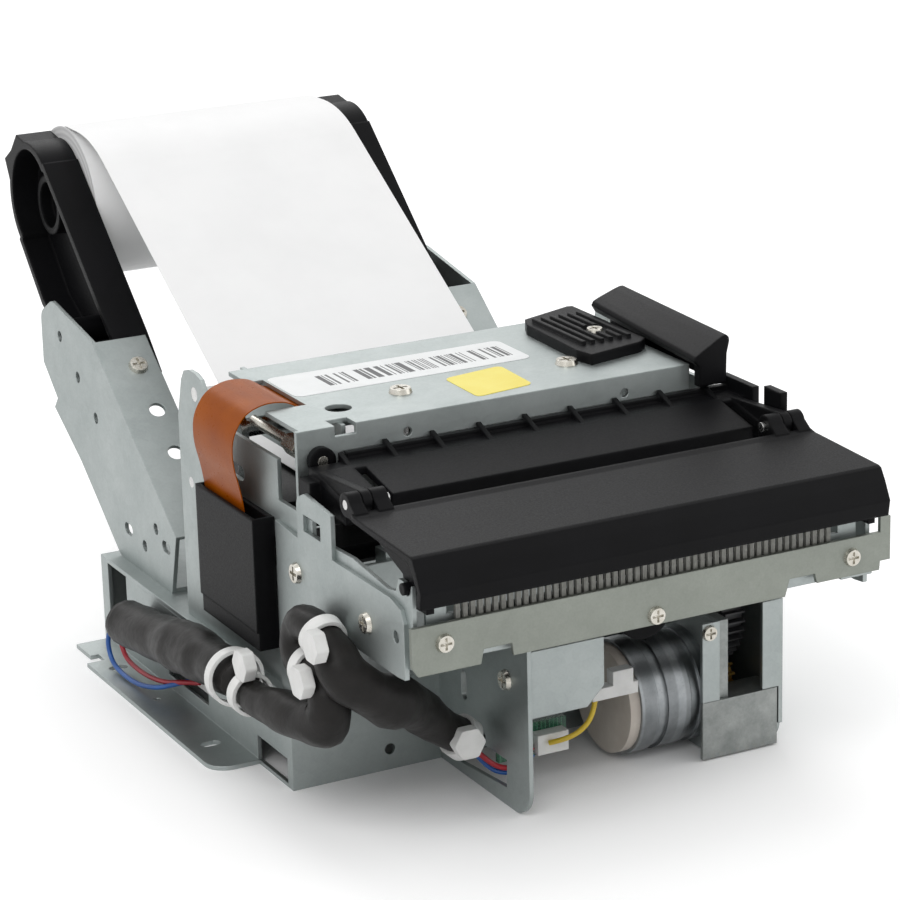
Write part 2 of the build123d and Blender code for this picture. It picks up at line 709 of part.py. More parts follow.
# Platen with its shaft, bushes and gear
rubber_radius = 8.0
shaft_radius = 3.0
rubber_overhang = 0.5
bush_flange_radius = 6.0
bush_flange = 2.0
gear_left = 44.0
gear_right = 50.0
platen_teeth = 24
idler_a_teeth = 36
idler_b_teeth = 30
pinion_teeth = 12
idler_bore = 2.05
post_radius = 2.0
platen_centre = (platen_depth, platen_height)

with BuildPart() as platen_rubber:
    rods(side_plane(paper_left - rubber_overhang), [platen_centre], rubber_radius,
         paper_width + 2 * rubber_overhang)
    rods(side_plane(paper_left - overrun), [platen_centre], shaft_radius, paper_width + 2 * overrun,
         Mode.SUBTRACT)

shaft_end = outer_plate_x - 4 * sheet_gap

with BuildPart() as platen_shaft:
    rods(side_plane(-shaft_end), [platen_centre], shaft_radius, 2 * shaft_end)

with BuildPart() as platen_bushes:
    for outward in (-1, 1):
        rods(side_plane(outward * (inner_plate_x - bush_flange)), [platen_centre], bush_flange_radius,
             outward * bush_flange)
        rods(side_plane(outward * inner_plate_x), [platen_centre], bush_radius, outward * sheet)
        rods(side_plane(outward * (inner_plate_x - bush_flange - overrun)), [platen_centre],
             shaft_radius + running_gap, outward * (bush_flange + sheet + 2 * overrun), Mode.SUBTRACT)

# Gear train: motor pinion, two idlers and the platen gear, each in mesh with the next
idler_a_angle = 78.4


def centre_distance(first_teeth, second_teeth):
    return (first_teeth + second_teeth) * tooth_module / 2


pinion_reach = centre_distance(pinion_teeth, idler_a_teeth)
idler_a = (
    motor_depth + pinion_reach * cos(radians(idler_a_angle)),
    motor_height + pinion_reach * sin(radians(idler_a_angle)),
)
reach_a = centre_distance(idler_a_teeth, idler_b_teeth)
reach_b = centre_distance(idler_b_teeth, platen_teeth)
gap_run = hypot(platen_depth - idler_a[0], platen_height - idler_a[1])
gap_angle = atan2(platen_height - idler_a[1], platen_depth - idler_a[0])
bend_run = (reach_a**2 - reach_b**2 + gap_run**2) / (2 * gap_run)
bend_angle = gap_angle - atan2(sqrt(reach_a**2 - bend_run**2), bend_run)
idler_b = (idler_a[0] + reach_a * cos(bend_angle), idler_a[1] + reach_a * sin(bend_angle))
platen_angle = degrees(atan2(platen_height - idler_b[1], platen_depth - idler_b[0]))
pinion_phase = idler_a_angle
idler_a_phase = meshed_phase(pinion_phase, pinion_teeth, idler_a_teeth, idler_a_angle)
idler_b_phase = meshed_phase(idler_a_phase, idler_a_teeth, idler_b_teeth, degrees(bend_angle))
platen_phase = meshed_phase(idler_b_phase, idler_b_teeth, platen_teeth, platen_angle)
gear_width = gear_right - gear_left

with BuildPart() as platen_gear:
    gear(side_plane(gear_left), platen_centre, platen_teeth, platen_phase, gear_width, shaft_radius)

with BuildPart() as idler_gear_a:
    gear(side_plane(gear_left), idler_a, idler_a_teeth, idler_a_phase, gear_width, idler_bore)

with BuildPart() as idler_gear_b:
    gear(side_plane(gear_left), idler_b, idler_b_teeth, idler_b_phase, gear_width, idler_bore)

# Motor with its cap, connector, bracket and the cast gearbox plate
motor_radius = 15.5
bracket_x = 37.4
band_depth = 0.7
band_places = [21.0, 31.0]
band_width = 3.0
motor_shaft_radius = 1.5
motor_shaft_left = 30.0
bracket_front = 31.6
bracket_bottom = 0.5
bracket_top = 38.5
bracket_flange_left = 33.4
bracket_screw = (35.4, 35.8)
bracket_screw_head = 2.2
casting_thickness = 3.4
casting_front = 33.0
casting_top = 38.0
casting_left = bracket_x + sheet
casting_right = casting_left + casting_thickness
casting_block_right = 56.4
casting_block_top = 10.0
casting_lug_top = 16.4
casting_lug_back = 41.5
casting_block_back = 58.0
shaft_hole_radius = 3.0
casting_corner = 3.0

with BuildPart() as motor_can:
    rods(side_plane(motor_left), [motor_centre], motor_radius, bracket_x - motor_left)
    for band in band_places:
        with BuildSketch(side_plane(band)):
            with Locations(motor_centre):
                Circle(motor_radius + overrun)
                Circle(motor_radius - band_depth, mode=Mode.SUBTRACT)
        extrude(amount=band_width, mode=Mode.SUBTRACT)
    rods(side_plane(motor_shaft_left - sheet), [motor_centre], motor_shaft_radius + running_gap,
         bracket_x - motor_shaft_left + 2 * sheet, Mode.SUBTRACT)

with BuildPart() as motor_cap:
    rods(side_plane(cap_left), [motor_centre], cap_radius, motor_left - cap_left)

with BuildPart() as motor_pinion:
    gear(side_plane(gear_left - sheet / 2), motor_centre, pinion_teeth, pinion_phase, gear_width + sheet, 0)
    rods(side_plane(motor_shaft_left), [motor_centre], motor_shaft_radius, gear_left - motor_shaft_left)

with BuildPart() as motor_bracket:
    block(bracket_x, bracket_x + sheet, bracket_front, base_front, bracket_bottom, bracket_top)
    block(bracket_flange_left, bracket_x, bracket_front, bracket_front + sheet, casting_lug_top + sheet_gap,
          bracket_top)
    block(bracket_x, bracket_x + sheet, bracket_front, bracket_front + sheet + sheet_gap, bracket_bottom,
          casting_lug_top + sheet_gap, Mode.SUBTRACT)
    rods(side_plane(bracket_x - overrun), [motor_centre], shaft_hole_radius, 2 * overrun + sheet, Mode.SUBTRACT)
    rods(front_plane(bracket_front + overrun), [bracket_screw], screw_hole_radius, 2 * overrun, Mode.SUBTRACT)

with BuildPart() as gearbox_casting:
    with BuildSketch(side_plane(casting_left)) as casting_sketch:
        Polygon((casting_front, bracket_bottom), (base_front, bracket_bottom), (base_front, casting_top),
                (casting_front, casting_top), align=None)
        fillet(casting_sketch.vertices().group_by(Axis.Y)[0], casting_corner)
        with Locations(motor_centre):
            Circle(shaft_hole_radius, mode=Mode.SUBTRACT)
    extrude(amount=casting_thickness)
    block(casting_right, casting_block_right, casting_front, casting_block_back, bracket_bottom,
          casting_block_top)
    block(casting_right, casting_block_right, casting_front, casting_lug_back, casting_block_top,
          casting_lug_top)
    # Front skirt that runs under the bracket's flange
    block(bracket_flange_left, casting_right, bracket_front, bracket_front + sheet, bracket_bottom,
          casting_lug_top)
    block(casting_right, casting_block_right, bracket_front, casting_front, bracket_bottom, casting_lug_top)

# Right gear plate with the posts of both idlers
gear_plate_x = 57.0
gear_plate_front = 33.0
gear_plate_front_top = 41.0
gear_plate_rear = 92.0
gear_plate_top = 56.0
gear_plate_corner = 6.0
gear_flange_left = 52.0
post_left = 43.0

with BuildPart() as right_gear_plate:
    with BuildSketch(side_plane(gear_plate_x)) as gear_plate_sketch:
        Polygon((gear_plate_front, 0), (base_front, 0), (base_front, deck_top), (gear_plate_rear, deck_top),
                (gear_plate_rear, gear_plate_top), (base_front, gear_plate_top),
                (gear_plate_front, gear_plate_front_top), align=None)
        fillet(gear_plate_sketch.vertices().sort_by(lambda corner: corner.X + corner.Y)[0], gear_plate_corner)
    extrude(amount=sheet)
    block(gear_flange_left, gear_plate_x, gear_plate_front - sheet, gear_plate_front,
          casting_lug_top + sheet_gap, gear_plate_front_top)
    block(gear_plate_x, gear_plate_x + sheet, gear_plate_front - sheet, gear_plate_front, gear_plate_corner,
          gear_plate_front_top)
    block(gear_flange_left, gear_plate_x, base_front - sheet, base_front, gear_plate_corner, base_wall_top)
    rods(side_plane(post_left), [idler_a, idler_b], post_radius, gear_plate_x - post_left)

# Foot plate with its triangular cut-out, the cover plate folded from it and the small board on it
foot_front = 21.5
foot_corner = 8.0
foot_top = 48.0
foot_cutout = [(59.4, 2.8), (45.1, 12.5), (33.3, 12.6), (33.6, 5.0)]
foot_screw = (32.9, 34.6)
foot_slot = (55.9, 25.4)
foot_slot_length = 8.0
foot_slot_width = 3.0
foot_flange_right = -13.0
cover_plate_depth = 25.0
cover_plate_right = 0.0
cover_plate_bottom = 26.0
cover_plate_top = 44.0
cover_plate_notch = 5.0

with BuildPart() as foot_plate:
    with BuildSketch(side_plane(foot_x)) as foot_sketch:
        Polygon((foot_front, 0), (base_front, 0), (base_front, foot_top), (foot_front, foot_top), align=None)
        fillet(foot_sketch.vertices().sort_by(lambda corner: corner.X + corner.Y)[0], foot_corner)
        Polygon(*foot_cutout, align=None, mode=Mode.SUBTRACT)
        with Locations(foot_screw):
            Circle(screw_hole_radius, mode=Mode.SUBTRACT)
        with Locations(Location((*foot_slot, 0), (0, 0, 90))):
            SlotOverall(foot_slot_length, foot_slot_width, mode=Mode.SUBTRACT)
    extrude(amount=sheet)
    block(foot_x + sheet, foot_flange_right, base_front - sheet, base_front, 0, base_wall_top)

with BuildPart() as motor_cover_plate:
    with BuildSketch(front_plane(cover_plate_depth + sheet)):
        Polygon((foot_x + sheet, cover_plate_bottom), (cover_plate_right - cover_plate_notch, cover_plate_bottom),
                (cover_plate_right, cover_plate_bottom + cover_plate_notch), (cover_plate_right, cover_plate_top),
                (foot_x + sheet, cover_plate_top), align=None)
    extrude(amount=sheet)
    # Fold that is screwed to the foot plate
    block(foot_x + sheet, foot_x + 2 * sheet, cover_plate_depth + sheet, foot_screw[0] + 4 * sheet,
          cover_plate_bottom, cover_plate_top)
    rods(side_plane(foot_x + sheet), [foot_screw], screw_hole_radius, 2 * sheet, Mode.SUBTRACT)

# Print head unit: top plate, frame, heat sink, head, springs and shaft
top_height = 97.0
top_front = 68.0
top_back = 128.0
top_left = -55.0
top_ear_left = -62.0
top_right = 52.0
top_under = top_height - sheet
cable_notch_front = 89.0
cable_notch_back = 116.0
cable_notch_right = -50.5
top_flange_bottom = 90.0
flange_hole_x = 32.0
flange_hole_height = 92.2
flange_hole_radius = 1.2
finger_hole = (-44.7, 81.9)
finger_hole_radius = 3.5
square_notch = (-52.5, -46.5, 5.5)
square_notch_bottom = 94.2
ear_left = -63.2
ear_right = -51.0
ear_bottom = 76.0
ear_pin_x = -57.0
ear_pin_height = 89.0
ear_bush_radius = 3.6
ear_bush_bore = 2.2
ear_bush_front = 65.8
ear_rod_radius = 1.4
ear_rod_back = 108.0
ear_nut_radius = 3.0
ear_nut_front = 78.0
ear_nut_back = 85.0
head_screw_x = 24.8
head_screw_depth = 86.0
head_screw_head = 3.15
wall_x = 47.8
wall_front = 71.5
wall_rear = 134.0
wall_bottom = 75.0
wall_rear_bottom = 80.0
wall_step = 97.0
cross_wall_depth = 117.0
cable_slot_height = 1.3
sink_half = 45.0
sink_front = 72.0
sink_back = 94.0
sink_bottom = 73.5
sink_top = 78.0
sink_pin_radius = 1.5
sink_pin_places = [(76.0, 76.0), (90.0, 76.0)]
fin_count = 6
fin_pitch = 3.2
fin_thickness = 1.0
fin_rise = 6.0
fin_half = 17.0
thermal_bottom = 71.45
thermal_back = 90.0
spring_outer = 3.0
spring_inner = 2.2
latch_depth = 112.0
latch_height = 86.0
latch_radius = 2.5

with BuildPart() as top_plate:
    with BuildSketch(floor_plane(top_under)):
        Polygon((top_ear_left, top_front), (top_right, top_front), (top_right, top_back), (top_left, top_back),
                (top_left, cable_notch_back), (cable_notch_right, cable_notch_back),
                (cable_notch_right, cable_notch_front), (top_ear_left, cable_notch_front), align=None)
        with Locations(finger_hole):
            Circle(finger_hole_radius, mode=Mode.SUBTRACT)
        with Locations((-head_screw_x, head_screw_depth), (head_screw_x, head_screw_depth)):
            Circle(screw_hole_radius, mode=Mode.SUBTRACT)
    extrude(amount=sheet)
    block(ear_right, top_right, top_front, top_front + sheet, top_flange_bottom, top_under)
    block(ear_left, ear_right, top_front, top_front + sheet, ear_bottom, top_under)
    block(ear_left, top_ear_left, top_front, top_front + sheet, top_under, top_height)
    block(square_notch[0], square_notch[1], top_front - overrun, top_front + square_notch[2],
          square_notch_bottom, top_height + overrun, Mode.SUBTRACT)
    rods(front_plane(top_front + 2 * overrun), [(-flange_hole_x, flange_hole_height),
                                                (flange_hole_x, flange_hole_height)],
         flange_hole_radius, 3 * overrun, Mode.SUBTRACT)
    rods(front_plane(top_front + 2 * overrun), [(ear_pin_x, ear_pin_height)], ear_bush_bore, 3 * overrun,
         Mode.SUBTRACT)

with BuildPart() as ear_bush:
    rods(front_plane(top_front), [(ear_pin_x, ear_pin_height)], ear_bush_radius, top_front - ear_bush_front)
    rods(front_plane(top_front + 2 * sheet), [(ear_pin_x, ear_pin_height)], ear_bush_bore, 2 * sheet)
    rods(front_plane(top_front + 3 * sheet), [(ear_pin_x, ear_pin_height)], ear_bush_radius, sheet)
    rods(front_plane(ear_rod_back), [(ear_pin_x, ear_pin_height)], ear_rod_radius,
         ear_rod_back - ear_bush_front + overrun, Mode.SUBTRACT)

with BuildPart() as head_frame:
    wall = [
        (wall_front, wall_bottom), (wall_step, wall_bottom), (wall_step, wall_rear_bottom),
        (wall_rear, wall_rear_bottom), (wall_rear, top_under), (wall_front, top_under),
    ]
    for start in (-wall_x - sheet, wall_x):
        with BuildSketch(side_plane(start)):
            Polygon(*wall, align=None)
            with Locations((hinge_depth, hinge_height)):
                Circle(hinge_radius + running_gap, mode=Mode.SUBTRACT)
            with Locations((latch_depth, latch_height)):
                Circle(latch_radius + running_gap, mode=Mode.SUBTRACT)
            with Locations(*sink_pin_places):
                Circle(sink_pin_radius + running_gap, mode=Mode.SUBTRACT)
        extrude(amount=sheet)
    block(-wall_x, wall_x, cross_wall_depth, cross_wall_depth + sheet, wall_rear_bottom, top_under)
    # Slot for the flex cable in the left wall
    block(-wall_x - 2 * sheet, sheet - wall_x, cable_notch_front - sheet / 2, cable_notch_back,
          top_under - cable_slot_height, top_under + sheet, Mode.SUBTRACT)

with BuildPart() as heat_sink:
    block(-sink_half, sink_half, sink_front, sink_back, sink_bottom, sink_top)
    fin_middle = (sink_front + sink_back) / 2
    for count in range(fin_count):
        fin_depth = fin_middle + (count - (fin_count - 1) / 2) * fin_pitch
        block(-fin_half, fin_half, fin_depth - fin_thickness / 2, fin_depth + fin_thickness / 2, sink_top,
              sink_top + fin_rise)
    for outward in (-1, 1):
        rods(side_plane(outward * sink_half), sink_pin_places, sink_pin_radius,
             outward * (wall_x + sheet - sink_half))

with BuildPart() as thermal_head:
    block(paper_left, paper_right, sink_front, thermal_back, thermal_bottom, sink_bottom)

with BuildPart() as head_springs:
    with BuildSketch(floor_plane(sink_top)):
        with Locations((-head_screw_x, head_screw_depth), (head_screw_x, head_screw_depth)):
            Circle(spring_outer)
            Circle(spring_inner, mode=Mode.SUBTRACT)
    extrude(amount=top_under - sink_top)

# Latch shaft with a hook at each end, turned by the release handle
hook_inner = 59.0
hook_thickness = 2.0
hook_front = 106.0
hook_bottom = 65.4
hook_lip_back = 113.0
hook_gap = 0.2
shaft_half = hook_inner + hook_thickness
stud_reach = hypot(hinge_depth - catch_depth, hinge_height - catch_height)

with BuildPart() as latch_shaft:
    rods(side_plane(-shaft_half), [(latch_depth, latch_height)], latch_radius, 2 * shaft_half)
    for start in (-shaft_half, hook_inner):
        with BuildSketch(side_plane(start)):
            with Locations((latch_depth, latch_height)):
                Circle(2 * latch_radius)
            Polygon((latch_depth - 2 * latch_radius, latch_height), (hook_front, hook_bottom),
                    (hook_lip_back, hook_bottom), (hook_lip_back, catch_height - catch_radius),
                    (catch_depth - catch_radius - hook_gap, catch_height),
                    (catch_depth - catch_radius - hook_gap, latch_height), align=None)
            # The lip clears the stud on its way round the head hinge
            with Locations((hinge_depth, hinge_height)):
                Circle(stud_reach + catch_radius + hook_gap, mode=Mode.SUBTRACT)
            Polygon((latch_depth - 2 * latch_radius, latch_height), (hook_front, hook_bottom),
                    (catch_depth - catch_radius - hook_gap, hook_bottom),
                    (catch_depth - catch_radius - hook_gap, latch_height), align=None)
            with Locations((latch_depth, latch_height)):
                Circle(2 * latch_radius)
        extrude(amount=hook_thickness)

# Release handle: a sloping grip with a closed front end, open underneath
grip_front = 64.0
grip_back = 118.0
grip_front_wall = 2.5
grip_wall = 2.0
grip_outer = 61.0
grip_foot = 92.0
grip_leg_left = 52.7
grip_leg_bottom = 91.5
boss_left = 54.5
boss_right = grip_outer - grip_wall
boss_front = 102.0
boss_bottom = 81.0
grip_section = [
    (51.0, 98.7), (51.6, 99.8), (53.4, 100.8), (58.4, 103.6), (60.2, 104.5), (61.2, 104.6), (61.8, 104.0),
    (62.0, 103.0), (61.7, 101.6), (61.2, 99.6), (61.0, 92.0),
]
rear_rise = [3.4, 3.4, 3.2, 2.2, 1.8, 1.7, 1.7, 1.7, 1.7, 1.7, 0.0]
cavity_rise = [3.4, 3.2, 1.7, 1.7, 1.7, 0.0]
grip_cavity = [
    (52.5, 97.7), (54.2, 98.6), (59.0, 101.3), (59.0, 100.5), (59.0, 92.0), (58.0, 90.0),
]

with BuildPart() as latch_handle:
    grip_end = [(x, height + rise) for (x, height), rise in zip(grip_section, rear_rise)]
    with BuildSketch(front_plane(grip_front)):
        Polygon(*grip_section, (grip_outer - 2 * grip_wall, grip_foot), align=None)
    with BuildSketch(front_plane(grip_back)):
        Polygon(*grip_end, (grip_outer - 2 * grip_wall, grip_foot), align=None)
    loft(ruled=True)
    # Hollow underneath, from the front wall to the back end
    cavity_end = [(x, height + rise) for (x, height), rise in zip(grip_cavity, cavity_rise)]
    with BuildSketch(front_plane(grip_front + grip_front_wall)):
        Polygon(*grip_cavity, (grip_section[0][0] - overrun, grip_foot - overrun), align=None)
    with BuildSketch(front_plane(grip_back + overrun)):
        Polygon(*cavity_end, (grip_section[0][0] - overrun, grip_foot - overrun), align=None)
    loft(ruled=True, mode=Mode.SUBTRACT)
    # Front wall carried down beside the top plate
    panel(front_plane(grip_front + grip_front_wall),
          [(grip_leg_left, grip_leg_bottom), (grip_outer, grip_leg_bottom), (grip_outer, grip_foot + sheet),
           (grip_leg_left, grip_section[0][1])], grip_front_wall)
    block(boss_left, grip_outer - grip_wall / 2, boss_front, grip_back, boss_bottom, grip_foot + grip_wall)
    block(grip_outer - 2 * grip_wall, grip_outer - grip_wall / 2, boss_front, grip_back, grip_foot,
          grip_foot + 4 * grip_wall)
    rods(side_plane(boss_left - overrun), [(latch_depth, latch_height)], latch_radius,
         grip_outer - boss_left + 2 * overrun, Mode.SUBTRACT)
    block(boss_right - sheet, grip_outer + sheet, hook_front - overrun, grip_back + overrun,
          boss_bottom - overrun, grip_foot, Mode.SUBTRACT)

# Thumb pad: an uneven ribbed plate screwed to the top plate
pad_outline = [
    (28.5, 87.0), (29.6, 80.8), (47.0, 84.8), (50.0, 87.5), (50.0, 127.0), (48.5, 127.4), (31.8, 121.5),
    (29.7, 116.7),
]
pad_rise = 3.0
rib_rise = 1.0
rib_width = 1.1
rib_places = [32.6, 35.4, 38.2, 41.0, 43.8, 46.6]
rib_front = 90.0
rib_back = 118.0
pad_screw_room = 3.6
pad_screw = (41.9, 100.5)
pad_screw_head = 2.4
pad_top = top_height + pad_rise

with BuildPart() as thumb_pad:
    panel(floor_plane(top_height), pad_outline, pad_rise)
    for x in rib_places:
        block(x - rib_width / 2, x + rib_width / 2, rib_front, rib_back, pad_top, pad_top + rib_rise)
    rods(floor_plane(pad_top), [pad_screw], pad_screw_room, overrun, Mode.SUBTRACT)
    rods(floor_plane(pad_top + overrun), [pad_screw], screw_hole_radius, -(pad_rise + 2 * overrun),
         Mode.SUBTRACT)

with BuildPart() as head_screws:
    for x in (-head_screw_x, head_screw_x):
        screw(Plane((x, head_screw_depth - bar_to_mounts, top_height)), head_screw_head,
              top_height - sink_top - sheet_gap)
    screw(Plane((pad_screw[0], pad_screw[1] - bar_to_mounts, pad_top)), pad_screw_head, pad_rise)
    # Long screw through the bush in the ear, with its nut
    rods(front_plane(ear_rod_back), [(ear_pin_x, ear_pin_height)], ear_rod_radius,
         ear_rod_back - ear_bush_front + sheet_gap)
    with BuildSketch(front_plane(ear_nut_back)):
        with Locations((ear_pin_x, ear_pin_height)):
            RegularPolygon(ear_nut_radius, 6)
    extrude(amount=ear_nut_back - ear_nut_front)

# Flex cable from the head over the left edge down into its duct
cable_front = 90.0
cable_back = 115.0
cable_thickness = 0.3
cable_path = [
    (-46.5, 95.2), (-50.8, 95.2), (-55.0, 98.2), (-61.5, 98.9), (-67.5, 96.8), (-71.2, 91.0), (-71.4, 84.0),
    (-69.6, 77.0), (-68.4, 69.0), (-68.2, 44.0),
]
duct_outer = 71.0
duct_front = 80.0
duct_back = 116.5
duct_top = 71.7
duct_bottom = 36.0
duct_wall = 1.2
duct_step = 41.0

with BuildPart() as head_flex_cable:
    with BuildSketch(front_plane(cable_back)):
        with BuildLine():
            FilletPolyline(*cable_path, radius=bend_radii([Vector(*corner) for corner in cable_path]))
        trace(line_width=cable_thickness)
    extrude(amount=cable_back - cable_front)

with BuildPart() as flex_duct:
    block(-duct_outer, -outer_plate_x, duct_front, duct_back, duct_bottom, duct_top)
    block(duct_wall - duct_outer, -outer_plate_x - duct_wall, duct_front + duct_wall, duct_back - duct_wall,
          duct_bottom - overrun, duct_top + overrun, Mode.SUBTRACT)
    block(-duct_outer, duct_wall / 2 - duct_outer, duct_front, duct_back, duct_bottom, duct_step, Mode.SUBTRACT)

# Roll brackets: folded sheet with a sloping front face and three screw places for other roll sizes
bracket_out = 62.5
bracket_in = 46.0
slope_foot = (153.0, 44.0)
slope_head = (209.0, 87.0)
bracket_outline = [
    slope_foot, slope_head, (241.0, 92.5), (250.5, 87.0), (250.7, 71.5), (240.5, 62.5), (243.5, 59.0),
    (224.0, 47.5), (210.0, 37.0), (197.5, deck_top + sheet), (195.0, deck_top), (158.0, deck_top),
]
bracket_holes = [(235.5, 82.8), (222.5, 73.4), (209.7, 64.2), (167.6, 42.4), (176.7, 34.7)]
bracket_corner = 4.5
bracket_hole_radius = 1.7
bracket_slots = [(188.5, 36.3), (160.5, 39.0)]
bracket_slot_length = 6.0
slope_angle = degrees(atan2(slope_head[1] - slope_foot[1], slope_head[0] - slope_foot[0]))
slope_screw_x = 52.0
slope_screw_shares = [0.40, 0.62, 0.85]
slope_hole_radius = 2.4
slope_screw_head = 2.9
foot_fold = 50.0
foot_screw_place = (56.0, 176.0)
foot_screw_head = 2.9
slope_drop = (sheet * sin(radians(slope_angle)), -sheet * cos(radians(slope_angle)))


# A plane on the sloping face, with its normal pointing up and to the front
def slope_plane(share, x):
    depth = slope_foot[0] + share * (slope_head[0] - slope_foot[0])
    height = slope_foot[1] + share * (slope_head[1] - slope_foot[1])
    normal = (0, -sin(radians(slope_angle)), cos(radians(slope_angle)))
    return Plane(origin=(x, depth - bar_to_mounts, height), x_dir=(1, 0, 0), z_dir=normal)


with BuildPart() as left_roll_bracket:
    with BuildSketch(side_plane(-bracket_out)) as bracket_sketch:
        Polygon(*bracket_outline, align=None)
        upper_corners = bracket_sketch.vertices().filter_by(
            lambda corner: corner.X > slope_head[0] + sheet and corner.Y > slope_head[1] - sheet)
        fillet(upper_corners, bracket_corner)
        with Locations(*bracket_holes):
            Circle(bracket_hole_radius, mode=Mode.SUBTRACT)
        with Locations(*bracket_slots):
            SlotOverall(bracket_slot_length, 2 * bracket_hole_radius, mode=Mode.SUBTRACT)
    extrude(amount=sheet)
    # Sloping face, folded inwards
    with BuildSketch(side_plane(-bracket_out)):
        Polygon(slope_foot, slope_head, (slope_head[0] + slope_drop[0], slope_head[1] + slope_drop[1]),
                (slope_foot[0] + slope_drop[0], slope_foot[1] + slope_drop[1]), align=None)
    extrude(amount=bracket_out - bracket_in)
    block(-bracket_out, -foot_fold, bracket_outline[-1][0], bracket_outline[-2][0], deck_top, deck_top + sheet)
    for share in slope_screw_shares:
        with BuildSketch(slope_plane(share, -slope_screw_x).offset(overrun)):
            Circle(slope_hole_radius if share < slope_screw_shares[-1] else screw_hole_radius)
        extrude(amount=-2 * overrun - sheet, mode=Mode.SUBTRACT)
    rods(floor_plane(deck_top - overrun), [(-foot_screw_place[0], foot_screw_place[1])], screw_hole_radius,
         2 * overrun + sheet, Mode.SUBTRACT)

with BuildPart() as right_roll_bracket:
    mirror(left_roll_bracket.part, about=Plane.YZ)

# Roll arms: black channels that hold the roll between two hubs
roll_depth = 273.0
roll_height = 113.5
arm_head_radius = 18.0
arm_web_in = 43.3
arm_web = 2.4
arm_rim_out = 54.5
arm_rim = 2.2
arm_foot_out = bracket_out - sheet
arm_head = (275.0, 115.0)
arm_front = [(204.0, 76.5), (214.0, 86.5), (234.0, 104.0), (262.5, 129.0)]
arm_back = [(287.5, 100.5), (271.0, 83.5), (252.0, 74.0), (228.0, 68.5)]
arm_prong = [(268.0, 131.0), (284.4, 133.8), (290.0, 128.0), (296.0, 124.4), (292.6, 118.0)]
arm_boss_places = [(227.0, 78.0), (241.0, 82.0)]
arm_boss_radius = 4.0
rim_front = 210.5
hub_ring_outer = 9.0
hub_ring_inner = 7.0
hub_ring_rise = 4.0
hub_radius = 6.25
hub_reach = 7.0

with BuildPart() as left_roll_arm:
    with BuildSketch(side_plane(-arm_rim_out)):
        Polygon(*arm_front, *arm_back, align=None)
        with Locations(arm_head):
            Circle(arm_head_radius)
        Polygon(*arm_prong, align=None)
    extrude(amount=arm_rim_out - arm_web_in)
    # Hollow of the channel, open to the outside
    with BuildSketch(side_plane(-arm_rim_out - overrun)):
        Polygon(*arm_front, *arm_back, align=None)
        with Locations(arm_head):
            Circle(arm_head_radius)
        offset(amount=-arm_rim, mode=Mode.REPLACE)
    extrude(amount=arm_rim_out - arm_web_in - arm_web + overrun, mode=Mode.SUBTRACT)
    # In front of the bracket's upper edge only the web goes on, inside the bracket
    block(-arm_rim_out - overrun, -arm_web_in - arm_web, arm_front[0][0] - overrun, rim_front, 0, arm_head[1],
          Mode.SUBTRACT)
    # Bosses that stand against the inside of the bracket
    rods(side_plane(-arm_web_in - arm_web), arm_boss_places, arm_boss_radius,
         arm_web_in + arm_web - arm_foot_out)
    # Ring and rib on the web
    with BuildSketch(side_plane(-arm_web_in - arm_web)):
        with Locations((roll_depth, roll_height)):
            Circle(hub_ring_outer)
            Circle(hub_ring_inner, mode=Mode.SUBTRACT)
    extrude(amount=-hub_ring_rise)
    # Hub that the core turns on
    rods(side_plane(-arm_web_in), [(roll_depth, roll_height)], hub_radius, hub_reach)

with BuildPart() as right_roll_arm:
    mirror(left_roll_arm.part, about=Plane.YZ)

# Paper: a nearly finished roll on its core and the web that runs to the cutter
core_inner = hub_radius + 0.1
core_wall = 2.0
roll_radius = 23.3
core_outer = core_inner + core_wall
crest_gap = 0.4
crest_end = 263.0
web_angle = 31.5
crest_radius = 40.0
bed_radius = 20.0
web_front = 53.0
crest_height = roll_height + roll_radius + crest_gap

with BuildPart() as paper_roll:
    with BuildSketch(side_plane(paper_left)):
        with Locations((roll_depth, roll_height)):
            Circle(roll_radius)
            Circle(core_outer, mode=Mode.SUBTRACT)
    extrude(amount=paper_width)

with BuildPart() as roll_core:
    with BuildSketch(side_plane(paper_left)):
        with Locations((roll_depth, roll_height)):
            Circle(core_outer)
            Circle(core_inner, mode=Mode.SUBTRACT)
    extrude(amount=paper_width)

with BuildPart() as paper_web:
    crest_drop = crest_radius * (1 - cos(radians(web_angle)))
    crest_run = crest_radius * sin(radians(web_angle))
    bed_rise = bed_radius * (1 - cos(radians(web_angle)))
    bed_run = bed_radius * sin(radians(web_angle))
    slope_start = (crest_end - crest_run, crest_height - crest_drop)
    slope_fall = slope_start[1] - paper_height - bed_rise
    slope_end = (slope_start[0] - slope_fall / tan(radians(web_angle)), paper_height + bed_rise)
    with BuildSketch(side_plane(paper_left)):
        with BuildLine():
            Line((roll_depth, crest_height), (crest_end, crest_height))
            RadiusArc((crest_end, crest_height), slope_start, -crest_radius)
            Line(slope_start, slope_end)
            RadiusArc(slope_end, (slope_end[0] - bed_run, paper_height), bed_radius)
            Line((slope_end[0] - bed_run, paper_height), (web_front, paper_height))
        trace(line_width=paper_thickness)
    extrude(amount=paper_width)

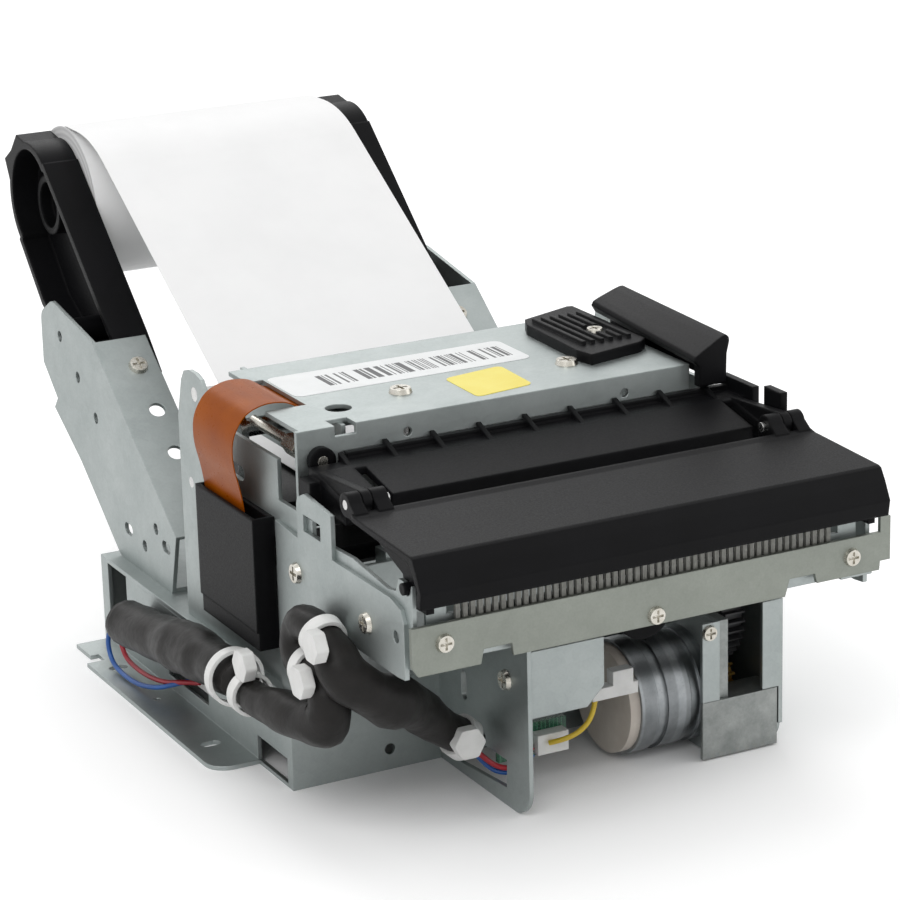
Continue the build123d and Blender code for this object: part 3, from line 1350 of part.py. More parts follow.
# Harness of sleeved wires along the left side, with its points chosen by hand
rear_sleeve_radius = 6.5
rear_sleeve_route = [(-74.0, 164.0, 18.0), (-74.0, 136.0, 21.5), (-75.0, 105.0, 27.5), (-76.5, 79.5, 29.2)]
front_sleeve_radius = 4.6
front_sleeve_route = [
    (-77.0, 78.3, 28.4), (-76.8, 67.5, 28.2), (-75.8, 57.0, 29.0), (-74.6, 48.0, 29.4), (-73.4, 40.4, 30.6),
    (-72.4, 34.2, 33.6), (-72.2, 34.4, 40.4), (-72.2, 40.6, 43.4), (-72.3, 50.0, 43.7), (-72.3, 53.3, 49.3),
    (-72.3, 50.0, 55.0), (-72.4, 41.0, 55.8), (-72.4, 32.4, 53.0), (-71.6, 26.8, 46.4), (-62.0, 27.6, 39.4),
    (-50.0, 35.0, 32.6), (-39.5, 40.6, 24.0), (-29.5, 42.3, 15.0),
]
wire_radius = 0.7
blue_wire_route = [
    (-74.5, 164.1, 15.5), (-75.0, 169.5, 15.3), (-75.6, 174.0, 13.0), (-76.0, 175.6, 8.5), (-76.0, 173.2, 4.0),
    (-76.0, 168.0, 2.4), (-75.8, 156.0, 2.4), (-74.0, 145.0, 4.4), (-70.5, 138.5, 7.2), (-66.3, 134.8, 8.9),
]
red_wire_route = [
    (-72.3, 164.1, 17.0), (-72.6, 169.0, 16.6), (-72.9, 172.6, 13.8), (-73.0, 173.2, 9.4), (-73.0, 170.4, 5.8),
    (-73.0, 165.5, 4.6), (-72.8, 155.0, 4.6), (-71.8, 144.0, 6.0), (-69.5, 136.5, 8.2), (-66.3, 131.6, 9.0),
]
yellow_wire_route = [
    (1.0, 31.6, 24.2), (0.2, 31.3, 20.4), (-3.2, 31.6, 16.6), (-7.6, 33.2, 14.6), (-10.3, 35.7, 13.5),
]
board_red_route = [
    (-28.2, 42.0, 13.2), (-24.8, 41.2, 8.8), (-20.4, 38.8, 7.2), (-16.8, 37.9, 9.2), (-13.9, 38.2, 12.2),
]
board_blue_route = [
    (-27.6, 44.5, 11.8), (-24.4, 43.0, 6.8), (-20.0, 40.2, 5.4), (-16.4, 38.2, 7.4), (-13.9, 38.0, 10.4),
]


def place(point):
    return Vector(point[0], point[1] - bar_to_mounts, point[2])


# A tube along straight runs with an arc at each corner
def tube(route, radius):
    points = [place(point) for point in route]
    bends = bend_radii(points)
    with BuildLine() as path:
        FilletPolyline(*points, radius=bends)
    line = path.wires()[0]
    with BuildSketch(Plane(origin=points[0], z_dir=points[1] - points[0])) as section:
        Circle(radius)
    sweep(section.sketch, path=line)
    print("tube of radius", radius, "tightest bend", round(min(bends), 1), "length", round(line.length, 1))


with BuildPart() as rear_sleeve:
    tube(rear_sleeve_route, rear_sleeve_radius)

with BuildPart() as front_sleeve:
    tube(front_sleeve_route, front_sleeve_radius)

with BuildPart() as harness_wires:
    for route in (blue_wire_route, red_wire_route, yellow_wire_route, board_red_route, board_blue_route):
        tube(route, wire_radius)

# Cable ties: a strap round the sleeve and a square head beside it
tie_gap = 0.2
tie_thickness = 1.0
tie_width = 3.6


def tie_strap(route, run, share, radius):
    start = place(route[run])
    end = place(route[run + 1])
    with BuildSketch(Plane(origin=start + (end - start) * share, z_dir=end - start)) as strap:
        Circle(radius + tie_gap + tie_thickness)
        Circle(radius + tie_gap, mode=Mode.SUBTRACT)
    extrude(strap.sketch, amount=tie_width / 2, both=True)


# Heads of the ties, which face outward, and the one at the foot plate, which faces forward
tie_head_radius = 4.5
tie_head_corner = 1.2
tie_head_thickness = 3.2
side_head_x = -80.4
side_head_places = [(71.0, 37.0), (36.0, 44.4), (27.4, 56.4)]
foot_head_depth = 35.8
foot_head_place = (-34.6, 19.4)


def tie_head(plane, head_place, thickness):
    with BuildSketch(plane) as head:
        with Locations(head_place):
            RegularPolygon(tie_head_radius, 6)
        fillet(head.vertices(), tie_head_corner)
    extrude(head.sketch, amount=thickness)



with white_fittings:
    tie_strap(rear_sleeve_route, 2, 0.82, rear_sleeve_radius)
    for run, share in ((0, 0.5), (7, 0.45), (11, 0.5)):
        tie_strap(front_sleeve_route, run, share, front_sleeve_radius)
    tie_strap(front_sleeve_route, len(front_sleeve_route) - 2, 0.7, front_sleeve_radius)
    for head_place in side_head_places:
        tie_head(side_plane(side_head_x), head_place, tie_head_thickness)
    tie_head(front_plane(foot_head_depth), foot_head_place, tie_head_thickness)

# Screws of the frame, bar, brackets and deck
with BuildPart() as frame_screws:
    for x, height in bar_screw_places:
        screw(Plane(origin=(x, -bar_to_mounts, height), x_dir=(1, 0, 0), z_dir=(0, -1, 0)), bar_screw_head,
              brush_back + holder_thickness)
    for depth, height in plate_screw_places:
        for side in (-1, 1):
            screw(Plane(origin=(side * base_wall_x, depth - bar_to_mounts, height), x_dir=(0, 1, 0),
                        z_dir=(side, 0, 0)), plate_screw_head, 2 * sheet + overrun)
    screw(Plane(origin=(foot_x, foot_screw[0] - bar_to_mounts, foot_screw[1]), x_dir=(0, 1, 0),
                z_dir=(-1, 0, 0)), plate_screw_head, 2 * sheet + overrun)
    screw(Plane(origin=(bracket_screw[0], bracket_front - bar_to_mounts, bracket_screw[1]), x_dir=(1, 0, 0),
                z_dir=(0, -1, 0)), bracket_screw_head, sheet)
    for side in (-1, 1):
        screw(slope_plane(slope_screw_shares[-1], side * slope_screw_x), slope_screw_head, sheet + overrun)
        screw(Plane((side * foot_screw_place[0], foot_screw_place[1] - bar_to_mounts, deck_top + sheet)),
              foot_screw_head, sheet)
    for x, depth in deck_screw_places:
        screw(Plane((x, depth - bar_to_mounts, deck_top)), deck_screw_head, sheet + overrun)

# Every piece is its own node and its own file
pieces = {
    "base_tray": base_tray, "base_deck": base_deck, "circuit_boards": circuit_boards,
    "white_fittings": white_fittings,
    "left_inner_plate": left_inner_plate, "right_inner_plate": right_inner_plate,
    "left_outer_plate": left_outer_plate, "right_outer_plate": right_outer_plate,
    "front_bar": front_bar, "antistatic_brush": antistatic_brush, "brush_holder": brush_holder,
    "exit_cover": exit_cover, "hinge_pins": hinge_pins, "cutter_guide": cutter_guide,
    "fixed_blade": fixed_blade, "cutter_plate": cutter_plate, "cutter_motor": cutter_motor,
    "cutter_pinion": cutter_pinion, "moving_blade": moving_blade, "cutter_bed": cutter_bed,
    "lower_paper_guide": lower_paper_guide, "paper_sensor": paper_sensor,
    "platen_rubber": platen_rubber, "platen_shaft": platen_shaft, "platen_bushes": platen_bushes,
    "platen_gear": platen_gear, "idler_gear_a": idler_gear_a, "idler_gear_b": idler_gear_b,
    "motor_can": motor_can, "motor_cap": motor_cap, "motor_pinion": motor_pinion,
    "motor_bracket": motor_bracket, "gearbox_casting": gearbox_casting,
    "right_gear_plate": right_gear_plate, "foot_plate": foot_plate, "motor_cover_plate": motor_cover_plate,
    "top_plate": top_plate, "ear_bush": ear_bush, "head_frame": head_frame,
    "heat_sink": heat_sink, "thermal_head": thermal_head, "head_springs": head_springs,
    "head_screws": head_screws, "latch_shaft": latch_shaft, "latch_handle": latch_handle,
    "thumb_pad": thumb_pad, "head_flex_cable": head_flex_cable, "flex_duct": flex_duct,
    "left_roll_bracket": left_roll_bracket, "right_roll_bracket": right_roll_bracket,
    "left_roll_arm": left_roll_arm, "right_roll_arm": right_roll_arm, "paper_roll": paper_roll,
    "roll_core": roll_core, "paper_web": paper_web, "frame_screws": frame_screws,
    "rear_sleeve": rear_sleeve, "front_sleeve": front_sleeve,
    "harness_wires": harness_wires,
}
for name, piece in pieces.items():
    piece.part.label = name
    export_step(piece.part, "parts/" + name + ".step")
print(len(pieces), "nodes")
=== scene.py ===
import json
import math

import bmesh
import bpy
from mathutils import Matrix, Vector, noise


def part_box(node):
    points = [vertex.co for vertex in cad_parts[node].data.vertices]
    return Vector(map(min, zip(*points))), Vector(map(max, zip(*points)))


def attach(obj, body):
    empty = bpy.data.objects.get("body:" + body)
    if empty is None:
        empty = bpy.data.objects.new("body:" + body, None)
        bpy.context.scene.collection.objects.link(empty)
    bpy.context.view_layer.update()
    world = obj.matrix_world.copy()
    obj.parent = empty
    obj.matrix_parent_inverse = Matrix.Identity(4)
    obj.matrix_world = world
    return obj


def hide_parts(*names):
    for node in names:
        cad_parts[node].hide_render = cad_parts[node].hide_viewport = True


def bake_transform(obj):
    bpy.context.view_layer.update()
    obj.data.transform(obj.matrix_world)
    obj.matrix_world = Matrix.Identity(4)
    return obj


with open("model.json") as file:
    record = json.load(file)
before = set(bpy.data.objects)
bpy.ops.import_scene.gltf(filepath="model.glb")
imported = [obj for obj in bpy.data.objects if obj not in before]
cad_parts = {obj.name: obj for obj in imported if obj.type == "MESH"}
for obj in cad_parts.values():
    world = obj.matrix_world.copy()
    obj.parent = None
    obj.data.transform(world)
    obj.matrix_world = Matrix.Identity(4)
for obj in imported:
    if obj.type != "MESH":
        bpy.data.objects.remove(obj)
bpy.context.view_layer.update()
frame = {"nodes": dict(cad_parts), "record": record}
mm = 0.001
barToMounts = 140.5  # mm from the front bar's face to the origin
weldGap = 0.01 * mm  # vertices closer than this are one


def atPlace(x, depth, height):
    # x to the right, depth behind the front bar, height above the floor, all in mm
    return Vector((x * mm, (depth - barToMounts) * mm, height * mm))


def perMm(size):
    # a texture's scale for a grain of that many mm
    return 1.0 / (size * mm)


# Camera
print("camera")
cameraView = {
    "place": (-0.3817, -0.7762, 0.3347),
    "azimuth": -27.2,
    "elevation": 17.5,
    "roll": -1.53,
    "lens": 129.2,
    "sensor": 36.0,
}


def aimCamera(view):
    azimuth = math.radians(view["azimuth"])
    elevation = math.radians(view["elevation"])
    roll = math.radians(view["roll"])
    back = Vector((math.sin(azimuth) * math.cos(elevation), -math.cos(azimuth) * math.cos(elevation),
                   math.sin(elevation)))
    right = Vector((math.cos(azimuth), math.sin(azimuth), 0.0))
    up = back.cross(right)
    rolledRight = right * math.cos(roll) + up * math.sin(roll)
    rolledUp = up * math.cos(roll) - right * math.sin(roll)
    turn = Matrix((rolledRight, rolledUp, back)).transposed()
    data = bpy.data.cameras.new("photoCamera")
    data.lens = view["lens"]
    data.sensor_width = view["sensor"]
    camera = bpy.data.objects.new("photoCamera", data)
    camera.matrix_world = Matrix.Translation(view["place"]) @ turn.to_4x4()
    bpy.context.collection.objects.link(camera)
    bpy.context.scene.camera = camera


aimCamera(cameraView)


# Cords: the harness down the left side and the motor's wires
print("cords")
harness = {
    "rearSleeve": {
        "replaces": "rear_sleeve", "slot": "sleeve_black", "diameter": 13.0,
        "route": [(-74, 164, 18), (-74, 136, 21.5), (-75, 105, 27.5), (-76.5, 79.5, 29.2)],
        "girth": [1, 1.05, 1.1, 0.85],
    },
    "frontSleeve": {
        "replaces": "front_sleeve", "slot": "sleeve_black", "diameter": 9.6,
        "route": [(-77, 78.3, 28.4), (-76.8, 67.5, 28.2), (-75.8, 57, 29), (-74.6, 48, 29.4), (-73.4, 40.4, 30.6),
                  (-72.4, 34.2, 33.6), (-72.2, 34.4, 40.4), (-72.2, 40.6, 43.4), (-72.3, 50, 43.7),
                  (-72.3, 53.3, 49.3), (-72.3, 50, 55), (-72.4, 41, 55.8), (-72.4, 32.4, 53), (-71.6, 26.8, 46.4),
                  (-62, 27.6, 39.4), (-50, 35, 32.6), (-39.5, 40.6, 24), (-29.5, 42.3, 15)],
        "girth": [0.8, 0.95, 1.1, 1.25, 1.35, 1.3, 1.1, 1, 0.95, 0.95, 0.95, 1, 1.1, 1.25, 1.45, 1.4, 1.1, 0.85],
    },
    "blueWire": {
        "replaces": "harness_wires", "slot": "wire_insulation", "diameter": 1.4,
        "route": [(-74.5, 164.1, 15.5), (-75, 169.5, 15.3), (-75.6, 174, 13), (-76, 175.6, 8.5), (-76, 173.2, 4),
                  (-76, 168, 2.4), (-75.8, 156, 2.4), (-74, 145, 4.4), (-70.5, 138.5, 7.2), (-66.3, 134.8, 8.9)],
    },
    "redWire": {
        "replaces": "harness_wires", "slot": "wire_insulation", "diameter": 1.4,
        "route": [(-72.3, 164.1, 17), (-72.6, 169, 16.6), (-72.9, 172.6, 13.8), (-73, 173.2, 9.4),
                  (-73, 170.4, 5.8), (-73, 165.5, 4.6), (-72.8, 155, 4.6), (-71.8, 144, 6), (-69.5, 136.5, 8.2),
                  (-66.3, 131.6, 9)],
    },
    "yellowWire": {
        "replaces": "harness_wires", "slot": "wire_insulation", "diameter": 1.4,
        "route": [(1, 31.6, 24.2), (0.2, 31.3, 20.4), (-3.2, 31.6, 16.6), (-7.6, 33.2, 14.6), (-10.3, 35.7, 13.5)],
    },
    "boardRedWire": {
        "replaces": "harness_wires", "slot": "wire_insulation", "diameter": 1.4,
        "route": [(-28.2, 42, 13.2), (-24.8, 41.2, 8.8), (-20.4, 38.8, 7.2), (-16.8, 37.9, 9.2), (-13.9, 38.2, 12.2)],
    },
    "boardBlueWire": {
        "replaces": "harness_wires", "slot": "wire_insulation", "diameter": 1.4,
        "route": [(-27.6, 44.5, 11.8), (-24.4, 43, 6.8), (-20, 40.2, 5.4), (-16.4, 38.2, 7.4), (-13.9, 38, 10.4)],
    },
}


roundness = {"alongRoute": 12, "aroundTube": 6}


def layCord(name, cord):
    curve = bpy.data.curves.new(name, "CURVE")
    curve.dimensions = "3D"
    spline = curve.splines.new("NURBS")
    spline.points.add(len(cord["route"]) - 1)
    # each point carries its own radius in metres, which also keeps the curve's box as narrow as the tube
    for point, place, girth in zip(spline.points, cord["route"], cord.get("girth", [1] * len(cord["route"]))):
        point.co = (*atPlace(*place), 1.0)
        point.radius = cord["diameter"] * mm / 2 * girth
    spline.order_u = 3
    spline.use_endpoint_u = True
    spline.resolution_u = roundness["alongRoute"]
    curve.bevel_depth = 1.0
    curve.bevel_resolution = roundness["aroundTube"]
    curve.use_fill_caps = True
    piece = bpy.data.objects.new(name, curve)
    if "girth" in cord:
        piece = crumple(piece)
    bpy.context.collection.objects.link(piece)
    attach(piece, "chassis")
    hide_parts(cord["replaces"])
    return piece


folds = {"sizeMm": 14.0, "depthMm": 1.4, "creaseMm": 9.0, "creaseDepthMm": 0.6}


def crumple(cord):
    # the thin sleeves sag between the wires, so their surface is pushed in and out along its normals
    mesh = bpy.data.meshes.new_from_object(cord)
    shape = bmesh.new()
    shape.from_mesh(mesh)
    bmesh.ops.remove_doubles(shape, verts=shape.verts[:], dist=weldGap)
    bmesh.ops.subdivide_edges(shape, edges=shape.edges[:], cuts=1, use_grid_fill=True)
    bmesh.ops.recalc_face_normals(shape, faces=shape.faces[:])
    shape.normal_update()
    for vertex in shape.verts:
        broad = noise.noise(vertex.co * perMm(folds["sizeMm"]))
        crease = abs(noise.noise(vertex.co * perMm(folds["creaseMm"])))
        depth = broad * folds["depthMm"] - crease * folds["creaseDepthMm"]
        vertex.co += vertex.normal * depth * mm
    for face in shape.faces:
        face.smooth = True
    shape.to_mesh(mesh)
    shape.free()
    return bpy.data.objects.new(cord.name, mesh)


cords = {name: layCord(name, cord) for name, cord in harness.items()}

# Finishes
print("finishes")


def fromHex(code):
    # sRGB hex to the linear values that the shaders take
    channels = [int(code[start:start + 2], 16) / 255 for start in (0, 2, 4)]
    return [c / 12.92 if c <= 0.04045 else ((c + 0.055) / 1.055) ** 2.4 for c in channels] + [1.0]


def addNode(tree, kind, settings=None, links=None):
    node = tree.nodes.new("ShaderNode" + kind)
    for name, value in (settings or {}).items():
        if isinstance(name, int) or name in node.inputs.keys():
            node.inputs[name].default_value = value
        else:
            setattr(node, name, value)
    for name, source in (links or {}).items():
        tree.links.new(source, node.inputs[name])
    return node


def newFinish(name, shaderSettings):
    material = bpy.data.materials.new(name)
    material.use_nodes = True
    tree = material.node_tree
    tree.nodes.clear()
    shader = addNode(tree, "BsdfPrincipled", shaderSettings)
    addNode(tree, "OutputMaterial", links={"Surface": shader.outputs["BSDF"]})
    return material, tree, shader


noiseSpan = {"From Min": 0.3, "From Max": 0.7}
bumpShare = 0.3  # height of the grain as a share of its width


def grainFinish(name, look):
    # colour that drifts between two tones, uneven roughness, fine grain and softened edges
    material, tree, shader = newFinish(name, look["shader"])
    place = addNode(tree, "TexCoord").outputs["Object"]
    stretched = addNode(tree, "Mapping", {"Scale": look.get("stretch", (1, 1, 1))}, {"Vector": place})
    cloud = addNode(tree, "TexNoise", {"Scale": perMm(look["cloudMm"]), "Detail": 4.0, "Roughness": 0.6},
                    {"Vector": place})
    fine = addNode(tree, "TexNoise", {"Scale": perMm(look["grainMm"]), "Detail": 3.0, "Roughness": 0.6},
                   {"Vector": stretched.outputs["Vector"]})
    blend = addNode(tree, "MapRange", noiseSpan, {"Value": cloud.outputs["Fac"]})
    colour = addNode(tree, "Mix", {"data_type": "RGBA", 6: fromHex(look["dark"]), 7: fromHex(look["light"])},
                     {0: blend.outputs["Result"]})
    low, high = look["roughness"]
    rough = addNode(tree, "MapRange", {**noiseSpan, "To Min": low, "To Max": high}, {"Value": fine.outputs["Fac"]})
    soft = addNode(tree, "Bevel", {"samples": 4, "Radius": look["edgeMm"] * mm})
    bump = addNode(tree, "Bump", {"Strength": look["bump"], "Distance": look["grainMm"] * mm * bumpShare},
                   {"Height": fine.outputs["Fac"], "Normal": soft.outputs["Normal"]})
    tree.links.new(colour.outputs[2], shader.inputs["Base Color"])
    tree.links.new(rough.outputs["Result"], shader.inputs["Roughness"])
    tree.links.new(bump.outputs["Normal"], shader.inputs["Normal"])
    return material, tree, shader, colour


def waveScale(pitch):
    # the wave texture's scale for bands that many mm apart
    return 0.05 * perMm(pitch / math.pi)


def toneColour(tree, shader, colour, tone):
    # the base colour made lighter or darker by a tone around 1
    scaled = addNode(tree, "VectorMath", {"operation": "SCALE"},
                     {"Vector": colour.outputs[2], "Scale": tone.outputs["Result"]})
    tree.links.new(scaled.outputs["Vector"], shader.inputs["Base Color"])


# Zinc-coated steel, cold rolled: pale satin grey with faint flakes and light scratches
galvanisedLook = {
    "dark": "9EA5A4", "light": "AAB0AF", "cloudMm": 18.0, "grainMm": 0.7, "roughness": (0.44, 0.56), "bump": 0.1,
    "edgeMm": 0.4, "shader": {"Metallic": 1.0}, "flakeMm": 2.4, "flakeTone": 0.025,
}
# Stamped steel of the front bar: the same coating, duller and greener; its darker tone is partly painted shade of the
# bar's front faces
barLook = {
    "dark": "868A83", "light": "90948D", "cloudMm": 22.0, "grainMm": 0.6, "roughness": (0.46, 0.58), "bump": 0.1,
    "edgeMm": 0.4, "shader": {"Metallic": 1.0}, "flakeMm": 2.0, "flakeTone": 0.02,
}


def zincSheet(name, look):
    material, tree, shader, colour = grainFinish(name, look)
    place = addNode(tree, "TexCoord").outputs["Object"]
    flake = addNode(tree, "TexVoronoi", {"Scale": perMm(look["flakeMm"]), "Randomness": 1.0}, {"Vector": place})
    grey = addNode(tree, "SeparateColor", links={"Color": flake.outputs["Color"]})
    tone = addNode(tree, "MapRange", {"To Min": 1.0 - look["flakeTone"], "To Max": 1.0 + look["flakeTone"]},
                   {"Value": grey.outputs["Red"]})
    toneColour(tree, shader, colour, tone)
    return material


plainLooks = {
    # Ground steel shafts and pins: bright, with fine turning marks across the axis
    "bright_steel": {"dark": "B4B4B4", "light": "CFCFCD", "cloudMm": 6.0, "grainMm": 0.5, "stretch": (4, 1, 1),
                     "roughness": (0.18, 0.3), "bump": 0.1, "edgeMm": 0.2, "shader": {"Metallic": 1.0}},
    # Hardened blade steel: fine grinding lines along the edge
    "blade_steel": {"dark": "9A9C9E", "light": "BEC0C2", "cloudMm": 9.0, "grainMm": 0.4, "stretch": (0.1, 1, 1),
                    "roughness": (0.2, 0.34), "bump": 0.15, "edgeMm": 0.1, "shader": {"Metallic": 1.0}},
    # Nickel-plated screw steel: bright, slightly warm
    "screw_steel": {"dark": "B9B5AA", "light": "D6D3CB", "cloudMm": 3.0, "grainMm": 0.4,
                    "roughness": (0.22, 0.32), "bump": 0.04, "edgeMm": 0.15, "shader": {"Metallic": 1.0}},
    # Cut brass: warm yellow with tool marks
    "pinion_brass": {"dark": "A8823C", "light": "C9A45A", "cloudMm": 3.0, "grainMm": 0.3,
                     "roughness": (0.24, 0.36), "bump": 0.12, "edgeMm": 0.1, "shader": {"Metallic": 1.0}},
    # Glass-filled nylon, moulded: black with a fine spark texture and a dull sheen
    "black_plastic": {"dark": "0C0C0D", "light": "111113", "cloudMm": 20.0, "grainMm": 0.45,
                      "roughness": (0.36, 0.5), "bump": 0.2, "edgeMm": 1.0,
                      "shader": {"IOR": 1.46, "Specular IOR Level": 0.1}},
    # Moulded acetal: black and a little waxy
    "gear_plastic": {"dark": "1D1D1E", "light": "29292B", "cloudMm": 8.0, "grainMm": 0.4,
                     "roughness": (0.34, 0.46), "bump": 0.1, "edgeMm": 0.1, "shader": {"IOR": 1.48}},
    # Die-cast zinc alloy: grey with a grainy skin
    "cast_alloy": {"dark": "868A88", "light": "A0A3A1", "cloudMm": 5.0, "grainMm": 0.6,
                   "roughness": (0.42, 0.6), "bump": 0.35, "edgeMm": 0.4, "shader": {"Metallic": 1.0}},
    # Moulded nylon of the motor's end cap: beige
    "cap_plastic": {"dark": "C8BEB4", "light": "D6CEC4", "cloudMm": 7.0, "grainMm": 0.5,
                    "roughness": (0.4, 0.52), "bump": 0.12, "edgeMm": 0.3, "shader": {"IOR": 1.5}},
    # Natural nylon of connectors and ties: milky white, light passes a little way in
    "white_plastic": {"dark": "E4E4E2", "light": "F2F2F0", "cloudMm": 6.0, "grainMm": 0.6,
                      "roughness": (0.3, 0.42), "bump": 0.1, "edgeMm": 0.4,
                      "shader": {"IOR": 1.5, "Subsurface Weight": 0.25, "Subsurface Radius": (0.001, 0.001, 0.001)}},
    # Conductive fibre of the brush: grey-black, each tuft a little different
    "bristle": {"dark": "8C8C86", "light": "A6A6A0", "cloudMm": 1.2, "grainMm": 0.3,
                "roughness": (0.4, 0.6), "bump": 0.2, "edgeMm": 0.05, "shader": {"IOR": 1.5}},
    # Ground rubber of the platen: dull black
    "platen_rubber": {"dark": "1C1C1C", "light": "262626", "cloudMm": 6.0, "grainMm": 0.3,
                      "roughness": (0.6, 0.75), "bump": 0.2, "edgeMm": 0.2, "shader": {"IOR": 1.52}},
    # Glazed ceramic of the print head: off-white and smooth
    "head_ceramic": {"dark": "CFCBC0", "light": "DDD9CF", "cloudMm": 8.0, "grainMm": 0.4,
                     "roughness": (0.14, 0.24), "bump": 0.05, "edgeMm": 0.1, "shader": {"IOR": 1.7}},
    # Rolled card of the core: brown with soft fibres
    "core_card": {"dark": "8E7A60", "light": "A8937A", "cloudMm": 4.0, "grainMm": 0.5,
                  "roughness": (0.7, 0.85), "bump": 0.3, "edgeMm": 0.1, "shader": {"IOR": 1.45}},
    # Thin film sleeve drawn over the wires: dark grey, crumpled, with a dull sheen
    "sleeve_black": {"dark": "1B1A19", "light": "262423", "cloudMm": 9.0, "grainMm": 2.4,
                     "roughness": (0.4, 0.5), "bump": 0.15, "edgeMm": 0.1,
                     "shader": {"IOR": 1.46, "Specular IOR Level": 0.2}},
}
finishes = {slot: grainFinish(slot, look)[0] for slot, look in plainLooks.items()}
finishes["galvanised"] = zincSheet("galvanised", galvanisedLook)
finishes["bar_steel"] = zincSheet("bar_steel", barLook)

# Drawn steel of the motor cans: turned bright bands on grey
motorLook = {
    "dark": "74787A", "light": "8E9193", "cloudMm": 6.0, "grainMm": 0.5, "stretch": (1, 6, 6),
    "roughness": (0.26, 0.4), "bump": 0.12, "edgeMm": 0.5, "shader": {"Metallic": 1.0}, "bandMm": 3.14,
}


def drawnCan(name, look):
    material, tree, shader, colour = grainFinish(name, look)
    place = addNode(tree, "TexCoord").outputs["Object"]
    band = addNode(tree, "TexWave", {"wave_type": "BANDS", "bands_direction": "X",
                                     "Scale": waveScale(look["bandMm"]), "Distortion": 0.4}, {"Vector": place})
    tone = addNode(tree, "MapRange", {"From Min": 0.55, "From Max": 0.8, "To Min": 1.0, "To Max": 1.35},
                   {"Value": band.outputs["Fac"]})
    toneColour(tree, shader, colour, tone)
    return material


finishes["motor_steel"] = drawnCan("motor_steel", motorLook)

# Solder mask over glass-fibre board: dark green, glossy, with copper tracks under it
boardLook = {
    "dark": "16402F", "light": "1D5A41", "cloudMm": 5.0, "grainMm": 0.5, "roughness": (0.2, 0.32), "bump": 0.05,
    "edgeMm": 0.1, "shader": {"IOR": 1.55}, "trackMm": 2.4, "track": "3E7D5C",
}


def maskedBoard(name, look):
    material, tree, shader, colour = grainFinish(name, look)
    place = addNode(tree, "TexCoord").outputs["Object"]
    track = addNode(tree, "TexBrick", {"Scale": perMm(look["trackMm"]), "Mortar Size": 0.06, "Mortar Smooth": 0.2,
                                       "Color1": fromHex(look["dark"]), "Color2": fromHex(look["light"]),
                                       "Mortar": fromHex(look["track"])}, {"Vector": place})
    tree.links.new(track.outputs["Color"], shader.inputs["Base Color"])
    return material


finishes["board_green"] = maskedBoard("board_green", boardLook)

# Polyimide flex: orange-brown film over copper tracks that run along it
flexLook = {
    "dark": "8E4200", "light": "A25204", "cloudMm": 14.0, "grainMm": 0.8, "roughness": (0.26, 0.38), "bump": 0.06,
    "edgeMm": 0.05, "shader": {"IOR": 1.5, "Specular IOR Level": 0.08}, "trackMm": 2.6,
}


def trackedFlex(name, look):
    material, tree, shader, colour = grainFinish(name, look)
    place = addNode(tree, "TexCoord").outputs["Object"]
    track = addNode(tree, "TexWave", {"wave_type": "BANDS", "bands_direction": "X", "wave_profile": "TRI",
                                      "Scale": waveScale(look["trackMm"])}, {"Vector": place})
    tone = addNode(tree, "MapRange", {"From Min": 0.3, "From Max": 0.6, "To Min": 0.95, "To Max": 1.02},
                   {"Value": track.outputs["Fac"]})
    toneColour(tree, shader, colour, tone)
    return material


finishes["flex_orange"] = trackedFlex("flex_orange", flexLook)

# Thermal paper: white and smooth, with the wound edges of the roll showing as fine rings
paperLook = {
    "dark": "F6F6F6", "light": "FBFBFB", "cloudMm": 25.0, "grainMm": 0.5, "roughness": (0.5, 0.62), "bump": 0.06,
    "edgeMm": 0.05, "shader": {"IOR": 1.45}, "windingMm": 0.9, "axisDepth": 273.0, "axisHeight": 113.5,
}


def woundPaper(name, look):
    material, tree, shader, colour = grainFinish(name, look)
    axis = atPlace(0, look["axisDepth"], look["axisHeight"])
    place = addNode(tree, "TexCoord").outputs["Object"]
    centred = addNode(tree, "Mapping", {"Location": (-axis.x, -axis.y, -axis.z)}, {"Vector": place})
    ring = addNode(tree, "TexWave", {"wave_type": "RINGS", "rings_direction": "X",
                                     "Scale": waveScale(look["windingMm"]), "Distortion": 0.6},
                   {"Vector": centred.outputs["Vector"]})
    facing = addNode(tree, "SeparateXYZ", links={"Vector": addNode(tree, "NewGeometry").outputs["True Normal"]})
    side = addNode(tree, "Math", {"operation": "ABSOLUTE"}, {0: facing.outputs["X"]})
    tone = addNode(tree, "MapRange", {"From Min": 0.0, "From Max": 1.0, "To Min": 1.0, "To Max": 0.8},
                   {"Value": addNode(tree, "Math", {"operation": "MULTIPLY"},
                                     {0: ring.outputs["Fac"], 1: side.outputs["Value"]}).outputs["Value"]})
    toneColour(tree, shader, colour, tone)
    return material


finishes["paper_white"] = woundPaper("paper_white", paperLook)

# Insulation of the wires, extruded PVC: saturated and a little glossy
wireColours = {
    "blueWire": ("1A4E96", "2462B0"), "redWire": ("9A0E22", "B4172C"), "yellowWire": ("D6B42A", "E6C83C"),
    "boardRedWire": ("9A0E22", "B4172C"), "boardBlueWire": ("1A4E96", "2462B0"),
}


def extrudedInsulation(name, dark, light):
    return grainFinish(name, {"dark": dark, "light": light, "cloudMm": 8.0, "grainMm": 0.5, "bump": 0.05,
                              "roughness": (0.3, 0.4), "edgeMm": 0.1, "shader": {"IOR": 1.53}})[0]


for name, piece in cords.items():
    if name in wireColours:
        piece.data.materials.append(extrudedInsulation(name, *wireColours[name]))
    else:
        piece.data.materials.append(finishes["sleeve_black"])
finishes["wire_insulation"] = cords["redWire"].data.materials[0]

for part in frame["record"]["subparts"]:
    node = frame["nodes"][part["node"]]
    for holder in node.material_slots:
        holder.material = finishes[part["material_slot"]]
    if not node.material_slots:
        node.data.materials.append(finishes[part["material_slot"]])
